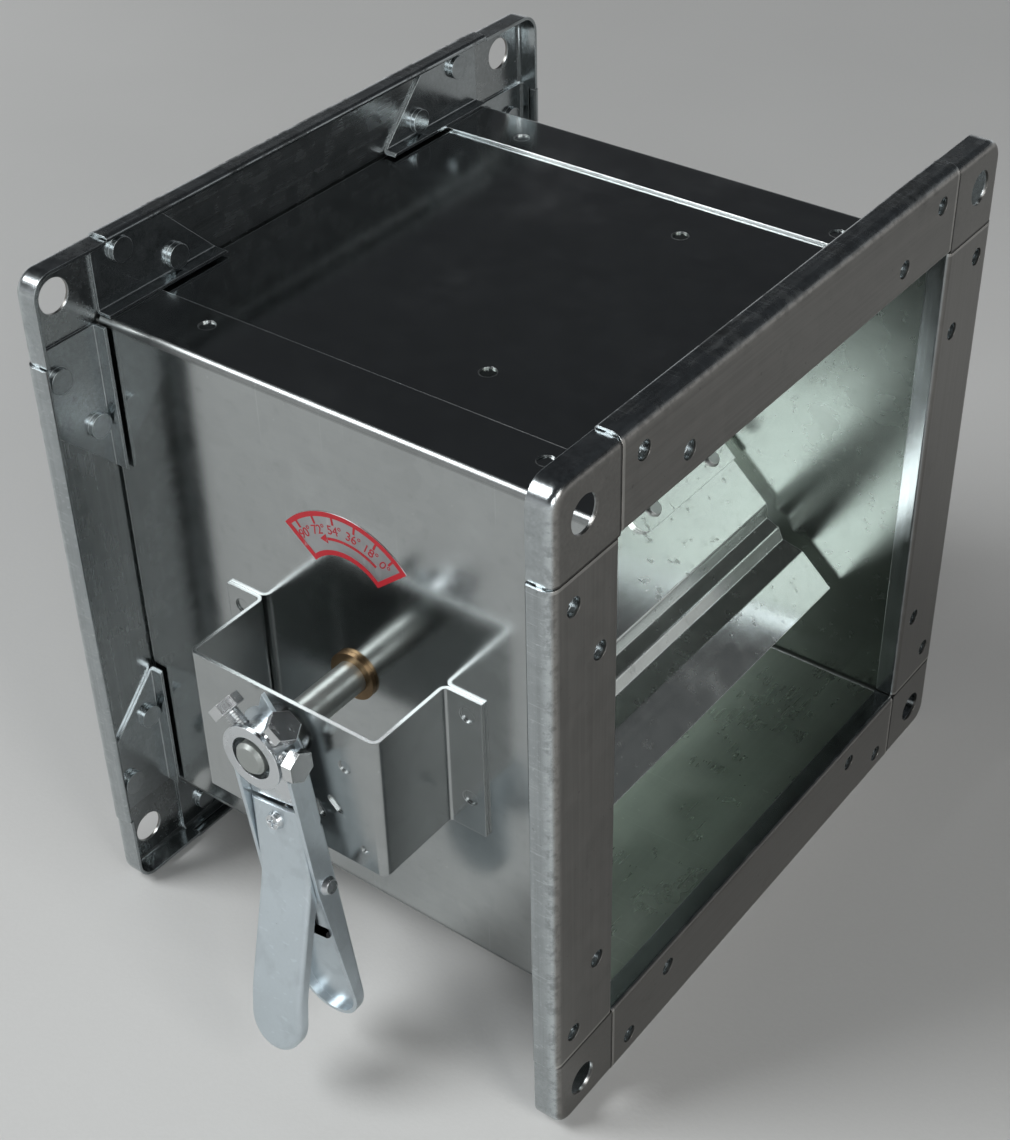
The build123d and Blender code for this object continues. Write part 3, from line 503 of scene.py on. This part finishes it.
def sheet_steel(
    name, colour, along, steel, gloss, streaks=1.0, mottled=1.0, satin=0.0, inside=None
):
    """Zinc-coated sheet: mottling, rolling lines, scratches, stains, edges bright with wear and
    painted highlight, and painted light and shade.

    Rolling lines run along axis number `along`. `streaks` and `mottled` weigh the
    lines and the dark dots, `satin` is the part of the surface that isn't a mirror,
    and `inside` is a painted colour for the duct's inner faces: painted shade on the
    walls and roof, painted light on the bottom.
    """
    finish = Finish(name)
    fine = [900.0, 900.0, 900.0]
    fine[along] = 14.0
    crystal = finish.crystals(steel.spangle)
    cloud = finish.noise(13.0, 4.0, rough=0.6)
    smudge = finish.noise(36.0, 3.0, rough=0.5)
    mottle = finish.noise(240.0, 3.0, rough=0.6)
    lines = finish.noise(1.0, 2.0, [step / 1.6 for step in fine])
    scratch = finish.ramp(finish.noise(1.0, 1.0, fine[1:] + fine[:1]), 0.70, 0.75)
    stain = finish.ramp(smudge, 0.48, 0.76) * finish.ramp(cloud, 0.44, 0.66)
    dots = finish.ramp(mottle, 0.56, 0.74) * mottled
    speck = finish.ramp(finish.noise(520.0, 1.0), 0.76, 0.80)
    soft = finish.soft_normal(steel.edge)
    edge = finish.edges(soft)
    rough = gloss + crystal * 0.02 + stain * 0.08 + dots * 0.06 + (lines - 0.5) * 0.04 * streaks
    rough = rough + edge * 0.22

    # Place on the duct: distance from its middle line, square to the nearest
    # wall, and nearness to one of the casing's four bends
    parts = finish.parts()
    depth = parts["Y"].size().most(parts["Z"].size())
    corner = parts["Y"].size().least(parts["Z"].size())
    # Painted light and shade: the inner faces take the `inside` colour, darker on the walls and
    # roof, brighter on the bottom
    if inside is not None:
        within = finish.ramp(depth, WALL_MIDDLE + 0.0002, WALL_MIDDLE - 0.0002)
        colour = finish.mix(within, rgba(colour), rgba(inside))
        rough = rough + within * 0.11
    # Painted shade: near the casing's four bends the tone is lowered, damping the lamps' glint on
    # them, and the roughness is raised
    bend = finish.ramp(corner, WALL_MIDDLE - 0.0022, WALL_MIDDLE - 0.0008)
    rough = rough + bend * 0.18
    tone = 0.86 + crystal * 0.06 + cloud * 0.18 + (lines - 0.5) * 0.14 * streaks - bend * 0.36
    # Cut edges are brightened, partly as wear and partly as a painted highlight
    tone = tone - dots * 0.14 + stain * 0.08 + scratch * 0.10 + speck * 0.20 + edge * 0.12

    # Painted shade on the bracket's top edge, damping the lamps' glint there, and a painted
    # highlight along the inner edge of the side strips
    painted_crown_shade = finish.ramp(parts["Z"], CROWN - 0.0004, CROWN - 0.0001)
    painted_crown_shade = painted_crown_shade * finish.ramp(parts["Z"], CROWN + 0.0004, CROWN + 0.0001)
    tone = tone - painted_crown_shade * finish.ramp(depth, WALL_MIDDLE + 0.0008, WALL_MIDDLE + 0.0012) * 0.38
    # Painted highlight: a bright line along the side strips' inner edge, just below the roof
    painted_strip_highlight = finish.ramp((parts["Y"].size() - STRIP_EDGE).size(), 0.0005, 0.0001)
    tone = tone + painted_strip_highlight * finish.ramp(parts["Z"].size(), ROOF_Z - 0.0004, ROOF_Z) * 1.2

    height = crystal * 0.04 + lines * 0.05 * streaks + cloud * 2.2
    normal = finish.relief(height, 0.00003, soft)
    return finish.close(finish.shade(colour, tone), 1.0 - satin, rough, normal)


def flange_steel(name, along, steel):
    """Sheet of the flange frames: rolling lines, bends bright with wear and painted highlight, dark
    scuffs on them, painted shade and highlight at the seams, and a painted dark reflection on the
    flat faces.

    A bar's rolling lines run along axis number `along`, which is None for the corners.
    """
    finish = Finish(name)
    fine = [700.0, 700.0, 700.0]
    across = [60.0, 60.0, 60.0]
    if along is not None:
        fine[along] = 9.0
        across[along] = 1300.0
    lines = finish.noise(1.0, 3.0, fine, rough=0.65)
    nicks = finish.ramp(finish.noise(1.0, 2.0, across), 0.60, 0.72)
    crystal = finish.crystals(steel.spangle * 0.8)
    cloud = finish.noise(14.0, 4.0, rough=0.6)
    smudge = finish.noise(46.0, 5.0, rough=0.66)
    chatter = finish.noise(260.0, 3.0, rough=0.7)
    speck = finish.ramp(finish.noise(480.0, 1.0), 0.73, 0.79)

    # Place on the frame: distances from its rim and from the duct's end, the flat
    # face, the seams beside the corners with their painted shadow and highlight, the front bend,
    # and the lip
    parts = finish.parts()
    rim = FLANGE_HALF - parts["Y"].size().most(parts["Z"].size())
    roof = finish.ramp(parts["Z"].size(), FLANGE_HALF - 0.0020, FLANGE_HALF - 0.0008)
    end = HALF_LENGTH - (parts["X"] - SHAFT_X).size()
    face = finish.ramp(end, 0.0016, 0.0004)
    # Painted light and shade at the seams: a shadow line on a corner's face beside the bars, a
    # highlight on a bar's face at its end
    if along is None:
        inset = parts["Y"].size().least(parts["Z"].size())
        seam_shadow_and_highlight = finish.ramp(inset, SEAM + 0.0008, SEAM + 0.0004) * -0.62
    else:
        reach = parts["XYZ"[along]].size()
        seam_shadow_and_highlight = finish.ramp(reach, BAR_END - 0.0013, BAR_END - 0.0010) * 0.9
    bend = finish.ramp(rim, 0.0048, 0.0010) * finish.ramp(end, 0.0048, 0.0010)
    lip = finish.ramp(rim, 0.0018, 0.0006)

    # Bright bends: partly wear, partly a painted highlight along the middle of each bend
    wear_and_highlight = bend * finish.ramp(chatter, 0.36, 0.56)
    scuff = roof * finish.ramp(smudge, 0.50, 0.58) * finish.ramp(chatter, 0.34, 0.46)
    hatch = lip * finish.ramp(finish.noise(1.0, 2.0, (500.0, 90.0, 900.0)), 0.58, 0.70)
    soft = finish.soft_normal(steel.edge)
    edge = finish.edges(soft)
    # Painted reflection: the flat faces take the darker `flange` colour, the lips, legs and arms
    # the lighter `lip` colour of the same steel
    colour = finish.mix(face, rgba(steel.lip), rgba(steel.flange))
    tone = 0.84 + crystal * 0.10 + cloud * 0.16 + (lines - 0.5) * 0.50 - speck * 0.22
    # Bends and cut edges are brightened, partly as wear and partly as a painted highlight
    tone = tone + wear_and_highlight * 0.5 + edge * 0.2 - scuff * 0.6 - finish.ramp(smudge, 0.58, 0.7) * 0.10
    tone = tone + nicks * lip * 0.3 + hatch * 0.25 + seam_shadow_and_highlight * face
    rough = 0.20 + face * 0.12 + crystal * 0.05 + (lines - 0.5) * 0.12 + scuff * 0.2 - wear_and_highlight * 0.04
    rough = rough + edge * 0.16
    height = lines * (face + lip) * 0.5 + crystal * 0.08 + (chatter + nicks) * lip * 0.3
    normal = finish.relief(height, 0.00004, soft)
    return finish.close(finish.shade(colour, tone), 1.0, rough, normal)


def plated(name, colour, gloss, steel, scratches=1.0, cloudy=0.12, satin=0.0):
    """Zinc plating on pressed and turned parts, its edges brightened partly by wear and partly as a
    painted highlight.
    """
    finish = Finish(name)
    cloud = finish.noise(38.0, 3.0)
    grain = finish.noise(900.0, 2.0)
    wipe = finish.ramp(finish.noise(1.0, 1.0, (260.0, 1600.0, 90.0)), 0.66, 0.74)
    dull = finish.ramp(finish.noise(120.0, 3.0), 0.5, 0.66)
    soft = finish.soft_normal(steel.edge)
    edge = finish.edges(soft)
    tone = 0.92 + (cloud - 0.5) * cloudy + (grain - 0.5) * 0.06 + wipe * 0.12 * scratches
    # Cut edges are brightened, partly as wear and partly as a painted highlight
    tone = tone + edge * 0.18 - dull * 0.07
    rough = gloss + dull * 0.08 + (grain - 0.5) * 0.06 + wipe * 0.05 * scratches + edge * 0.1
    normal = finish.relief(grain * 0.6 + wipe * 0.3, 0.00002, soft)
    return finish.close(finish.shade(colour, tone), 1.0 - satin, rough, normal)


def start_clean():
    """Leave edit mode and deselect everything."""
    if bpy.context.object and bpy.context.object.mode != "OBJECT":
        bpy.ops.object.mode_set(mode="OBJECT")
    bpy.ops.object.select_all(action="DESELECT")


def pick(piece, faces):
    """In edit mode: select a piece's faces by a test of place."""
    bpy.ops.object.mode_set(mode="OBJECT")
    mesh = piece.data
    for group in (mesh.vertices, mesh.edges, mesh.polygons):
        group.foreach_set("select", [False] * len(group))
    for face in mesh.polygons:
        face.select = faces(face)
    bpy.ops.object.mode_set(mode="EDIT")


def finished(piece, name, material, smooth=35.0):
    """Name a piece, put its place in its mesh and give it its finish."""
    start_clean()
    piece.select_set(True)
    bpy.context.view_layer.objects.active = piece
    bpy.ops.object.transform_apply(location=True, rotation=True, scale=True)
    bpy.ops.object.shade_smooth_by_angle(angle=radians(smooth))
    piece.name = name
    piece.data.name = name
    piece.data.materials.clear()
    piece.data.materials.append(material)
    return piece


def joined(pieces):
    """Join pieces into the first one, with its place in its mesh."""
    start_clean()
    for piece in pieces:
        piece.select_set(True)
    bpy.context.view_layer.objects.active = pieces[0]
    bpy.ops.object.join()
    bpy.ops.object.transform_apply(location=True, rotation=True, scale=True)
    return pieces[0]


def handle_point(across, forward, height):
    """Point of the handle: across it, forward of the inner lever's rear, up its height."""
    base = Vector((SHAFT_X, LEVER_REAR, 0.0))
    return base + ACROSS * across + FORWARD * forward + UPWARD * height


class DAMPER_OT_flanges(bpy.types.Operator):
    """Finish the eight bars and the eight corner pieces"""

    bl_idname = "damper.flanges"
    bl_label = "Flange frames"

    def execute(self, context):
        steel = context.scene.damper_steel
        across = flange_steel("flange_steel_across", 1, steel)
        upright = flange_steel("flange_steel_upright", 2, steel)
        corner = flange_steel("corner_steel", None, steel)
        for end in ("front", "rear"):
            dress(across, f"{end}_top_bar", f"{end}_bottom_bar")
            dress(upright, f"{end}_near_bar", f"{end}_far_bar")
            for side in ("near", "far"):
                dress(corner, f"{end}_{side}_top_corner", f"{end}_{side}_bottom_corner")
        return {"FINISHED"}


class DAMPER_OT_casing(bpy.types.Operator):
    """Finish the casing's panels and the bracket on its near side"""

    bl_idname = "damper.casing"
    bl_label = "Casing"

    def execute(self, context):
        steel = context.scene.damper_steel
        # The walls' and roof's inner faces get the darker `inside` colour as painted shade
        look = {"gloss": 0.14, "streaks": 0.4, "mottled": 0.35, "inside": steel.inside}
        wall = sheet_steel("wall_steel", steel.casing, 0, steel, **look)
        look = {"gloss": 0.22, "streaks": 0.4, "mottled": 0.3}
        bracket = sheet_steel("bracket_steel", steel.casing, 2, steel, **look)
        # The bottom's inner face gets the brighter `bottom` colour as painted light
        look = {"gloss": 0.16, "mottled": 0.3, "inside": steel.bottom}
        bottom = sheet_steel("bottom_steel", steel.casing, 1, steel, **look)
        dress(wall, "casing_near_side", "casing_far_side", "casing_top")
        dress(bottom, "casing_bottom")
        dress(bracket, "handle_bracket")
        return {"FINISHED"}


class DAMPER_OT_blade(bpy.types.Operator):
    """Finish the blade, its plates, clamps and rivets, its stops, the shaft and the bushes"""

    bl_idname = "damper.blade"
    bl_label = "Blade"

    def execute(self, context):
        steel = context.scene.damper_steel
        look = {"gloss": 0.20, "mottled": 1.6, "satin": 0.06}
        sheet = sheet_steel("blade_steel", steel.blade, 1, steel, **look)
        shaft = plated("shaft_steel", (0.42, 0.445, 0.43), 0.42, steel, cloudy=0.6, satin=0.15)
        rivet = plated("rivet_steel", (0.46, 0.47, 0.47), 0.30, steel)
        brass = plated("bush_brass", (0.30, 0.20, 0.11), 0.36, steel, cloudy=0.4)
        dress(sheet, "blade", "near_backing_plate", "far_backing_plate")
        dress(sheet, "near_shaft_clamp", "far_shaft_clamp", "top_blade_stop", "bottom_blade_stop")
        dress(shaft, "shaft")
        dress(rivet, "blade_rivets", "shaft_clip")
        dress(brass, "near_bush", "far_bush")
        return {"FINISHED"}


class DAMPER_OT_levers(bpy.types.Operator):
    """Finish the levers, the hub, the lock pin and the pivot rivet"""

    bl_idname = "damper.levers"
    bl_label = "Levers"

    def execute(self, context):
        steel = context.scene.damper_steel
        handle = context.scene.damper_handle
        zinc = plated("lever_zinc", handle.zinc, 0.29, steel, scratches=0.7, satin=0.2)
        bright = plated("bright_zinc", (0.72, 0.75, 0.77), 0.24, steel)
        dress(zinc, "inner_lever", "outer_lever")
        dress(bright, "hub_sleeve", "lock_pin", "pivot_rivet")
        return {"FINISHED"}


class DAMPER_OT_bolts(bpy.types.Operator):
    """Model the hub's three hex bolts with their chamfers and threads"""

    bl_idname = "damper.bolts"
    bl_label = "Clamp bolts"

    def execute(self, context):
        steel = context.scene.damper_steel
        handle = context.scene.damper_handle
        bright = plated("bolt_zinc", (0.70, 0.72, 0.73), 0.20, steel, scratches=1.4)
        made = [self.bolt(handle, underside) for _, underside in BOLTS]
        for piece, (angle, _) in zip(made, BOLTS):
            direction = Vector((cos(radians(angle)), 0.0, sin(radians(angle))))
            piece.rotation_euler = direction.to_track_quat("Z", "Y").to_euler()
            piece.location = (SHAFT_X, LEVER_REAR - BOLT_FORWARD, 0.0)
        bolts = finished(joined(made), "threaded_clamp_bolts", bright, smooth=30.0)
        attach(bolts, "blade_and_handle")
        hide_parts("clamp_bolts")
        return {"FINISHED"}

    def bolt(self, handle, underside):
        """One bolt along Z, its point on the shaft's round."""
        head = self.head(handle, underside)
        shank = self.shank(handle, underside)
        return joined([head, shank])

    def head(self, handle, underside):
        """Hex head whose corners are cut back by a cone."""
        start_clean()
        corner = handle.bolt_flats / 3**0.5
        middle = underside + handle.bolt_head / 2
        bpy.ops.mesh.primitive_cylinder_add(
            vertices=6, radius=corner, depth=handle.bolt_head, location=(0.0, 0.0, middle)
        )
        head = bpy.context.object
        bpy.ops.mesh.primitive_cylinder_add(
            vertices=64, radius=corner * 1.01, depth=handle.bolt_head, location=(0.0, 0.0, middle)
        )
        cutter = bpy.context.object
        bpy.ops.object.mode_set(mode="EDIT")
        top = handle.bolt_head * 0.4
        pick(cutter, faces=lambda face: face.center.z > top)
        bpy.ops.mesh.inset(thickness=handle.bolt_flats * CHAMFER_INSET)
        bpy.ops.transform.translate(value=(0.0, 0.0, handle.bolt_head * CHAMFER_DROP))
        bpy.ops.object.mode_set(mode="OBJECT")
        bpy.ops.object.select_all(action="DESELECT")
        head.select_set(True)
        bpy.context.view_layer.objects.active = head
        trim = head.modifiers.new("corner_trim", "BOOLEAN")
        trim.operation = "INTERSECT"
        trim.solver = "EXACT"
        trim.object = cutter
        bpy.ops.object.modifier_apply(modifier=trim.name)
        bpy.data.objects.remove(cutter)
        return head

    def shank(self, handle, underside):
        """Threaded shank from the head down to a tapered point."""
        start_clean()
        crest = handle.bolt_thread / 2
        root = crest - THREAD_DEPTH * handle.thread_pitch
        bpy.ops.mesh.primitive_circle_add(
            vertices=28, radius=crest, fill_type="NGON", location=(0.0, 0.0, underside)
        )
        shank = bpy.context.object
        bpy.ops.object.mode_set(mode="EDIT")
        depth = 0.0
        reach = underside - SHAFT_RADIUS - handle.thread_pitch
        step = handle.thread_pitch / 2
        while depth + handle.thread_pitch < reach:
            for scale in (root / crest, crest / root):
                bpy.ops.mesh.extrude_region_move(
                    TRANSFORM_OT_translate={"value": (0.0, 0.0, -step)}
                )
                bpy.ops.transform.resize(value=(scale, scale, 1.0))
                depth += step
        bpy.ops.mesh.extrude_region_move(
            TRANSFORM_OT_translate={"value": (0.0, 0.0, -(underside - SHAFT_RADIUS - depth))}
        )
        bpy.ops.transform.resize(value=(POINT_TAPER, POINT_TAPER, 1.0))
        bpy.ops.mesh.select_all(action="SELECT")
        bpy.ops.mesh.normals_make_consistent(inside=False)
        bpy.ops.object.mode_set(mode="OBJECT")
        return shank


class DAMPER_OT_spring(bpy.types.Operator):
    """Model the grip spring, a wound coil with a leg on each lever, and the bar below it"""

    bl_idname = "damper.spring"
    bl_label = "Grip spring"

    def execute(self, context):
        steel = context.scene.damper_steel
        handle = context.scene.damper_handle
        black = plated("spring_steel", (0.045, 0.045, 0.048), 0.32, steel)
        half = handle.spring_turns * handle.spring_wire * 1.04 / 2
        centre = handle_point(0.0, PIVOT_FORWARD, PIVOT_HEIGHT)
        coil = self.coil(handle, half)
        coil.matrix_world = Matrix.Translation(centre) @ self.turn()
        rest = handle.spring_coil
        leg_y = WEB_SHEET + handle.spring_wire / 2 + 0.0001
        start = handle_point(-half, PIVOT_FORWARD - rest, PIVOT_HEIGHT)
        end = handle_point(-half, leg_y, PIVOT_HEIGHT - INNER_LEG_REACH)
        lower = self.rod(handle.spring_wire, start, end)
        spring = finished(joined([coil, lower]), "spring_coil", black, smooth=60.0)
        low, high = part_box("grip_spring")
        top = handle_point(half, PIVOT_FORWARD + rest, PIVOT_HEIGHT)
        foot_z = PIVOT_HEIGHT - OUTER_LEG_REACH
        foot = Vector((high.x - FOOT_SIDE, low.y + FOOT_BACK, foot_z))
        outer = self.rod(handle.spring_wire, top, foot)
        outer = finished(outer, "spring_leg", black, smooth=60.0)
        left = handle_point(-STOP_REACH, STOP_FORWARD, STOP_HEIGHT)
        right = handle_point(STOP_REACH, STOP_FORWARD, STOP_HEIGHT)
        bar = finished(self.rod(STOP_BAR, left, right), "stop_bar", black, smooth=40.0)
        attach(spring, "blade_and_handle")
        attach(outer, "grip")
        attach(bar, "blade_and_handle")
        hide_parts("grip_spring")
        return {"FINISHED"}

    def turn(self):
        """Rotation that lays the coil's axis across the handle."""
        axes = Matrix((ACROSS, FORWARD, UPWARD)).transposed()
        return axes.to_4x4()

    def coil(self, handle, half):
        """Coil wound about X from one side of the middle to the other."""
        start_clean()
        bpy.ops.mesh.primitive_circle_add(
            vertices=10,
            radius=handle.spring_wire / 2,
            fill_type="NOTHING",
            location=(-half, 0.0, handle.spring_coil),
            rotation=(pi / 2, 0.0, 0.0),
        )
        coil = bpy.context.object
        bpy.ops.object.transform_apply(location=True, rotation=True, scale=True)
        wound = coil.modifiers.new("wound", "SCREW")
        wound.axis = "X"
        wound.steps = 28
        wound.render_steps = 28
        wound.iterations = handle.spring_turns
        wound.screw_offset = 2 * half / handle.spring_turns
        wound.use_merge_vertices = True
        bpy.ops.object.modifier_apply(modifier=wound.name)
        bpy.ops.object.mode_set(mode="EDIT")
        bpy.ops.mesh.select_all(action="SELECT")
        bpy.ops.mesh.fill_holes(sides=12)
        bpy.ops.mesh.select_all(action="SELECT")
        bpy.ops.mesh.normals_make_consistent(inside=False)
        bpy.ops.object.mode_set(mode="OBJECT")
        return coil

    def rod(self, thickness, start, end):
        """Straight round rod with rounded ends."""
        start_clean()
        run = end - start
        bpy.ops.mesh.primitive_cylinder_add(
            vertices=16,
            radius=thickness / 2,
            depth=run.length,
            location=(start + end) / 2,
            rotation=run.to_track_quat("Z", "Y").to_euler(),
        )
        rod = bpy.context.object
        bpy.ops.object.mode_set(mode="EDIT")
        tip = run.length * 0.49
        pick(rod, faces=lambda face: abs(face.center.z) > tip)
        bpy.ops.mesh.bevel(offset=thickness * 0.2, segments=2)
        bpy.ops.object.mode_set(mode="OBJECT")
        bpy.ops.object.transform_apply(location=True, rotation=True, scale=True)
        return rod


class DAMPER_OT_dial(bpy.types.Operator):
    """Finish the dial label and add its figures"""

    bl_idname = "damper.dial"
    bl_label = "Dial"

    def execute(self, context):
        steel = context.scene.damper_steel
        dial = context.scene.damper_dial
        film = plated("label_film", dial.film, 0.34, steel, scratches=1.2, cloudy=0.3)
        ink = self.ink(dial, steel)
        dress(film, "dial_label")
        dress(ink, "dial_print")
        figures = [self.figure(dial, text, angle) for text, angle in DIAL_FIGURES]
        print_piece = finished(joined(figures), "dial_figures", ink, smooth=20.0)
        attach(print_piece, "casing")
        return {"FINISHED"}

    def ink(self, dial, steel):
        """Screen-printed ink, a little uneven and rubbed."""
        finish = Finish("print_red")
        cloud = finish.noise(160.0, 3.0)
        grain = finish.noise(2600.0, 2.0)
        rubbed = finish.ramp(finish.noise(1.0, 2.0, (900.0, 900.0, 240.0)), 0.66, 0.76)
        tone = 0.86 + cloud * 0.28 + (grain - 0.5) * 0.12
        colour = finish.mix(rubbed * 0.5, finish.shade(dial.ink, tone), rgba(dial.film))
        rough = 0.42 + (cloud - 0.5) * 0.15
        normal = finish.relief(grain, 0.00001, finish.soft_normal(0.00005))
        return finish.close(colour, rubbed * 0.4, rough, normal)

    def figure(self, dial, text, angle):
        """One figure on the label's face, its foot towards the dial's centre."""
        start_clean()
        turn = radians(angle)
        out = Vector((cos(turn), 0.0, sin(turn)))
        place = DIAL_CENTRE + out * FIGURE_RADIUS
        place.y = LABEL_FACE - FIGURE_THICKNESS
        bpy.ops.object.text_add()
        figure = bpy.context.object
        figure.data.body = text
        figure.data.align_x = "CENTER"
        figure.data.align_y = "CENTER"
        figure.data.size = dial.figure / CAPITAL_HEIGHT
        figure.data.extrude = FIGURE_THICKNESS
        figure.data.resolution_u = 4
        figure.data.space_character = 0.95
        bpy.ops.object.convert(target="MESH")
        upright = Matrix.Rotation(pi / 2, 4, "X")
        lean = Matrix.Rotation(pi / 2 - turn, 4, "Y")
        figure.matrix_world = Matrix.Translation(place) @ lean @ upright
        bpy.ops.object.transform_apply(location=True, rotation=True, scale=True)
        return figure


class DAMPER_OT_stage(bpy.types.Operator):
    """Make the floor, the light and the camera"""

    bl_idname = "damper.stage"
    bl_label = "Stage"

    def execute(self, context):
        stage = context.scene.damper_stage
        self.floor(stage)
        self.world(context.scene)
        self.lamps()
        self.camera(context.scene, stage)
        context.scene.view_settings.view_transform = "Standard"
        return {"FINISHED"}

    def floor(self, stage):
        """Pale even floor, which glows faintly far away where no lamp reaches it."""
        start_clean()
        bpy.ops.mesh.primitive_plane_add(size=FLOOR_SIZE, location=(SHAFT_X, 0.0, FLOOR_Z))
        floor = bpy.context.object
        finish = Finish("floor_paint")
        cloud = finish.noise(5.0, 4.0)
        grain = finish.noise(600.0, 2.0)
        tone = 0.97 + (cloud - 0.5) * 0.08 + (grain - 0.5) * 0.03
        soft = finish.soft_normal(0.001)
        normal = finish.relief(grain, 0.00005, soft)
        colour = finish.shade(stage.floor, tone)
        away = finish.node("ShaderNodeVectorMath", {"operation": "LENGTH"}, {0: finish.place})
        glow = {
            "Emission Color": finish.shade(stage.floor, finish.ramp(away["Value"], 0.6, 3.2) * 0.9),
            "Emission Strength": 1.0,
        }
        material = finish.close(colour, 0.0, 0.75 + (cloud - 0.5) * 0.1, normal, **glow)
        finished(floor, "floor", material)

    def world(self, scene):
        """Studio room: pale near the horizon and darker overhead."""
        world = bpy.data.worlds.new("studio")
        scene.world = world
        world.use_nodes = True
        tree = world.node_tree
        tree.nodes.clear()
        place = tree.nodes.new("ShaderNodeTexCoord")
        parts = tree.nodes.new("ShaderNodeSeparateXYZ")
        rise = tree.nodes.new("ShaderNodeMapRange")
        rise.interpolation_type = "SMOOTHSTEP"
        rise.inputs["From Min"].default_value = 0.02
        rise.inputs["From Max"].default_value = 0.42
        blend = tree.nodes.new("ShaderNodeMix")
        blend.data_type = "RGBA"
        blend.inputs[6].default_value = HORIZON
        blend.inputs[7].default_value = OVERHEAD
        light = tree.nodes.new("ShaderNodeBackground")
        output = tree.nodes.new("ShaderNodeOutputWorld")
        tree.links.new(place.outputs["Generated"], parts.inputs[0])
        tree.links.new(parts.outputs["Z"], rise.inputs["Value"])
        tree.links.new(rise.outputs["Result"], blend.inputs[0])
        tree.links.new(blend.outputs[2], light.inputs["Color"])
        tree.links.new(light.outputs[0], output.inputs["Surface"])

    def lamps(self):
        """Three soft boxes: key from the upper left, fill from the right, window behind the eye."""
        for name, place, size, power, colour in LAMPS:
            bpy.ops.object.light_add(type="AREA", location=place)
            lamp = bpy.context.object
            lamp.name = name
            lamp.data.shape = "SQUARE"
            lamp.data.size = size
            lamp.data.energy = power
            lamp.data.color = colour
            aim = Vector((SHAFT_X, 0.0, 0.0)) - Vector(place)
            lamp.rotation_euler = aim.to_track_quat("-Z", "Y").to_euler()

    def camera(self, scene, stage):
        """Camera at the photograph's viewing angle."""
        bpy.ops.object.camera_add(location=stage.eye, rotation=stage.turn)
        camera = bpy.context.object
        camera.name = "photo_camera"
        camera.data.sensor_fit = "VERTICAL"
        camera.data.sensor_height = 36.0
        camera.data.lens = stage.lens
        camera.data.clip_start = 0.01
        camera.data.clip_end = 60.0
        scene.camera = camera


class DAMPER_PT_panel(bpy.types.Panel):
    """Damper's pieces, sizes and colours"""

    bl_idname = "DAMPER_PT_panel"
    bl_label = "Volume damper"
    bl_space_type = "VIEW_3D"
    bl_region_type = "UI"
    bl_category = "Damper"

    def draw(self, context):
        scene = context.scene
        for title, settings, operators in (
            ("Sheet steel", scene.damper_steel, ("flanges", "casing", "blade")),
            ("Handle", scene.damper_handle, ("levers", "bolts", "spring")),
            ("Dial", scene.damper_dial, ("dial",)),
            ("Stage", scene.damper_stage, ("stage",)),
        ):
            box = self.layout.box()
            box.label(text=title)
            for name in settings.__annotations__:
                box.prop(settings, name)
            for name in operators:
                box.operator(f"damper.{name}")


GROUPS = {
    "damper_steel": DamperSteel,
    "damper_handle": DamperHandle,
    "damper_dial": DamperDial,
    "damper_stage": DamperStage,
}
CLASSES = (
    *GROUPS.values(),
    DAMPER_OT_stage,
    DAMPER_OT_flanges,
    DAMPER_OT_casing,
    DAMPER_OT_blade,
    DAMPER_OT_levers,
    DAMPER_OT_bolts,
    DAMPER_OT_spring,
    DAMPER_OT_dial,
    DAMPER_PT_panel,
)


def register():
    for kind in CLASSES:
        bpy.utils.register_class(kind)
    for name, group in GROUPS.items():
        setattr(bpy.types.Scene, name, PointerProperty(type=group))


def unregister():
    for name in GROUPS:
        delattr(bpy.types.Scene, name)
    for kind in reversed(CLASSES):
        bpy.utils.unregister_class(kind)


def main():
    register()
    bpy.ops.damper.stage()
    bpy.ops.damper.flanges()
    bpy.ops.damper.casing()
    bpy.ops.damper.blade()
    bpy.ops.damper.levers()
    bpy.ops.damper.bolts()
    bpy.ops.damper.spring()
    bpy.ops.damper.dial()
    start_clean()


if __name__ == "__main__":
    main()
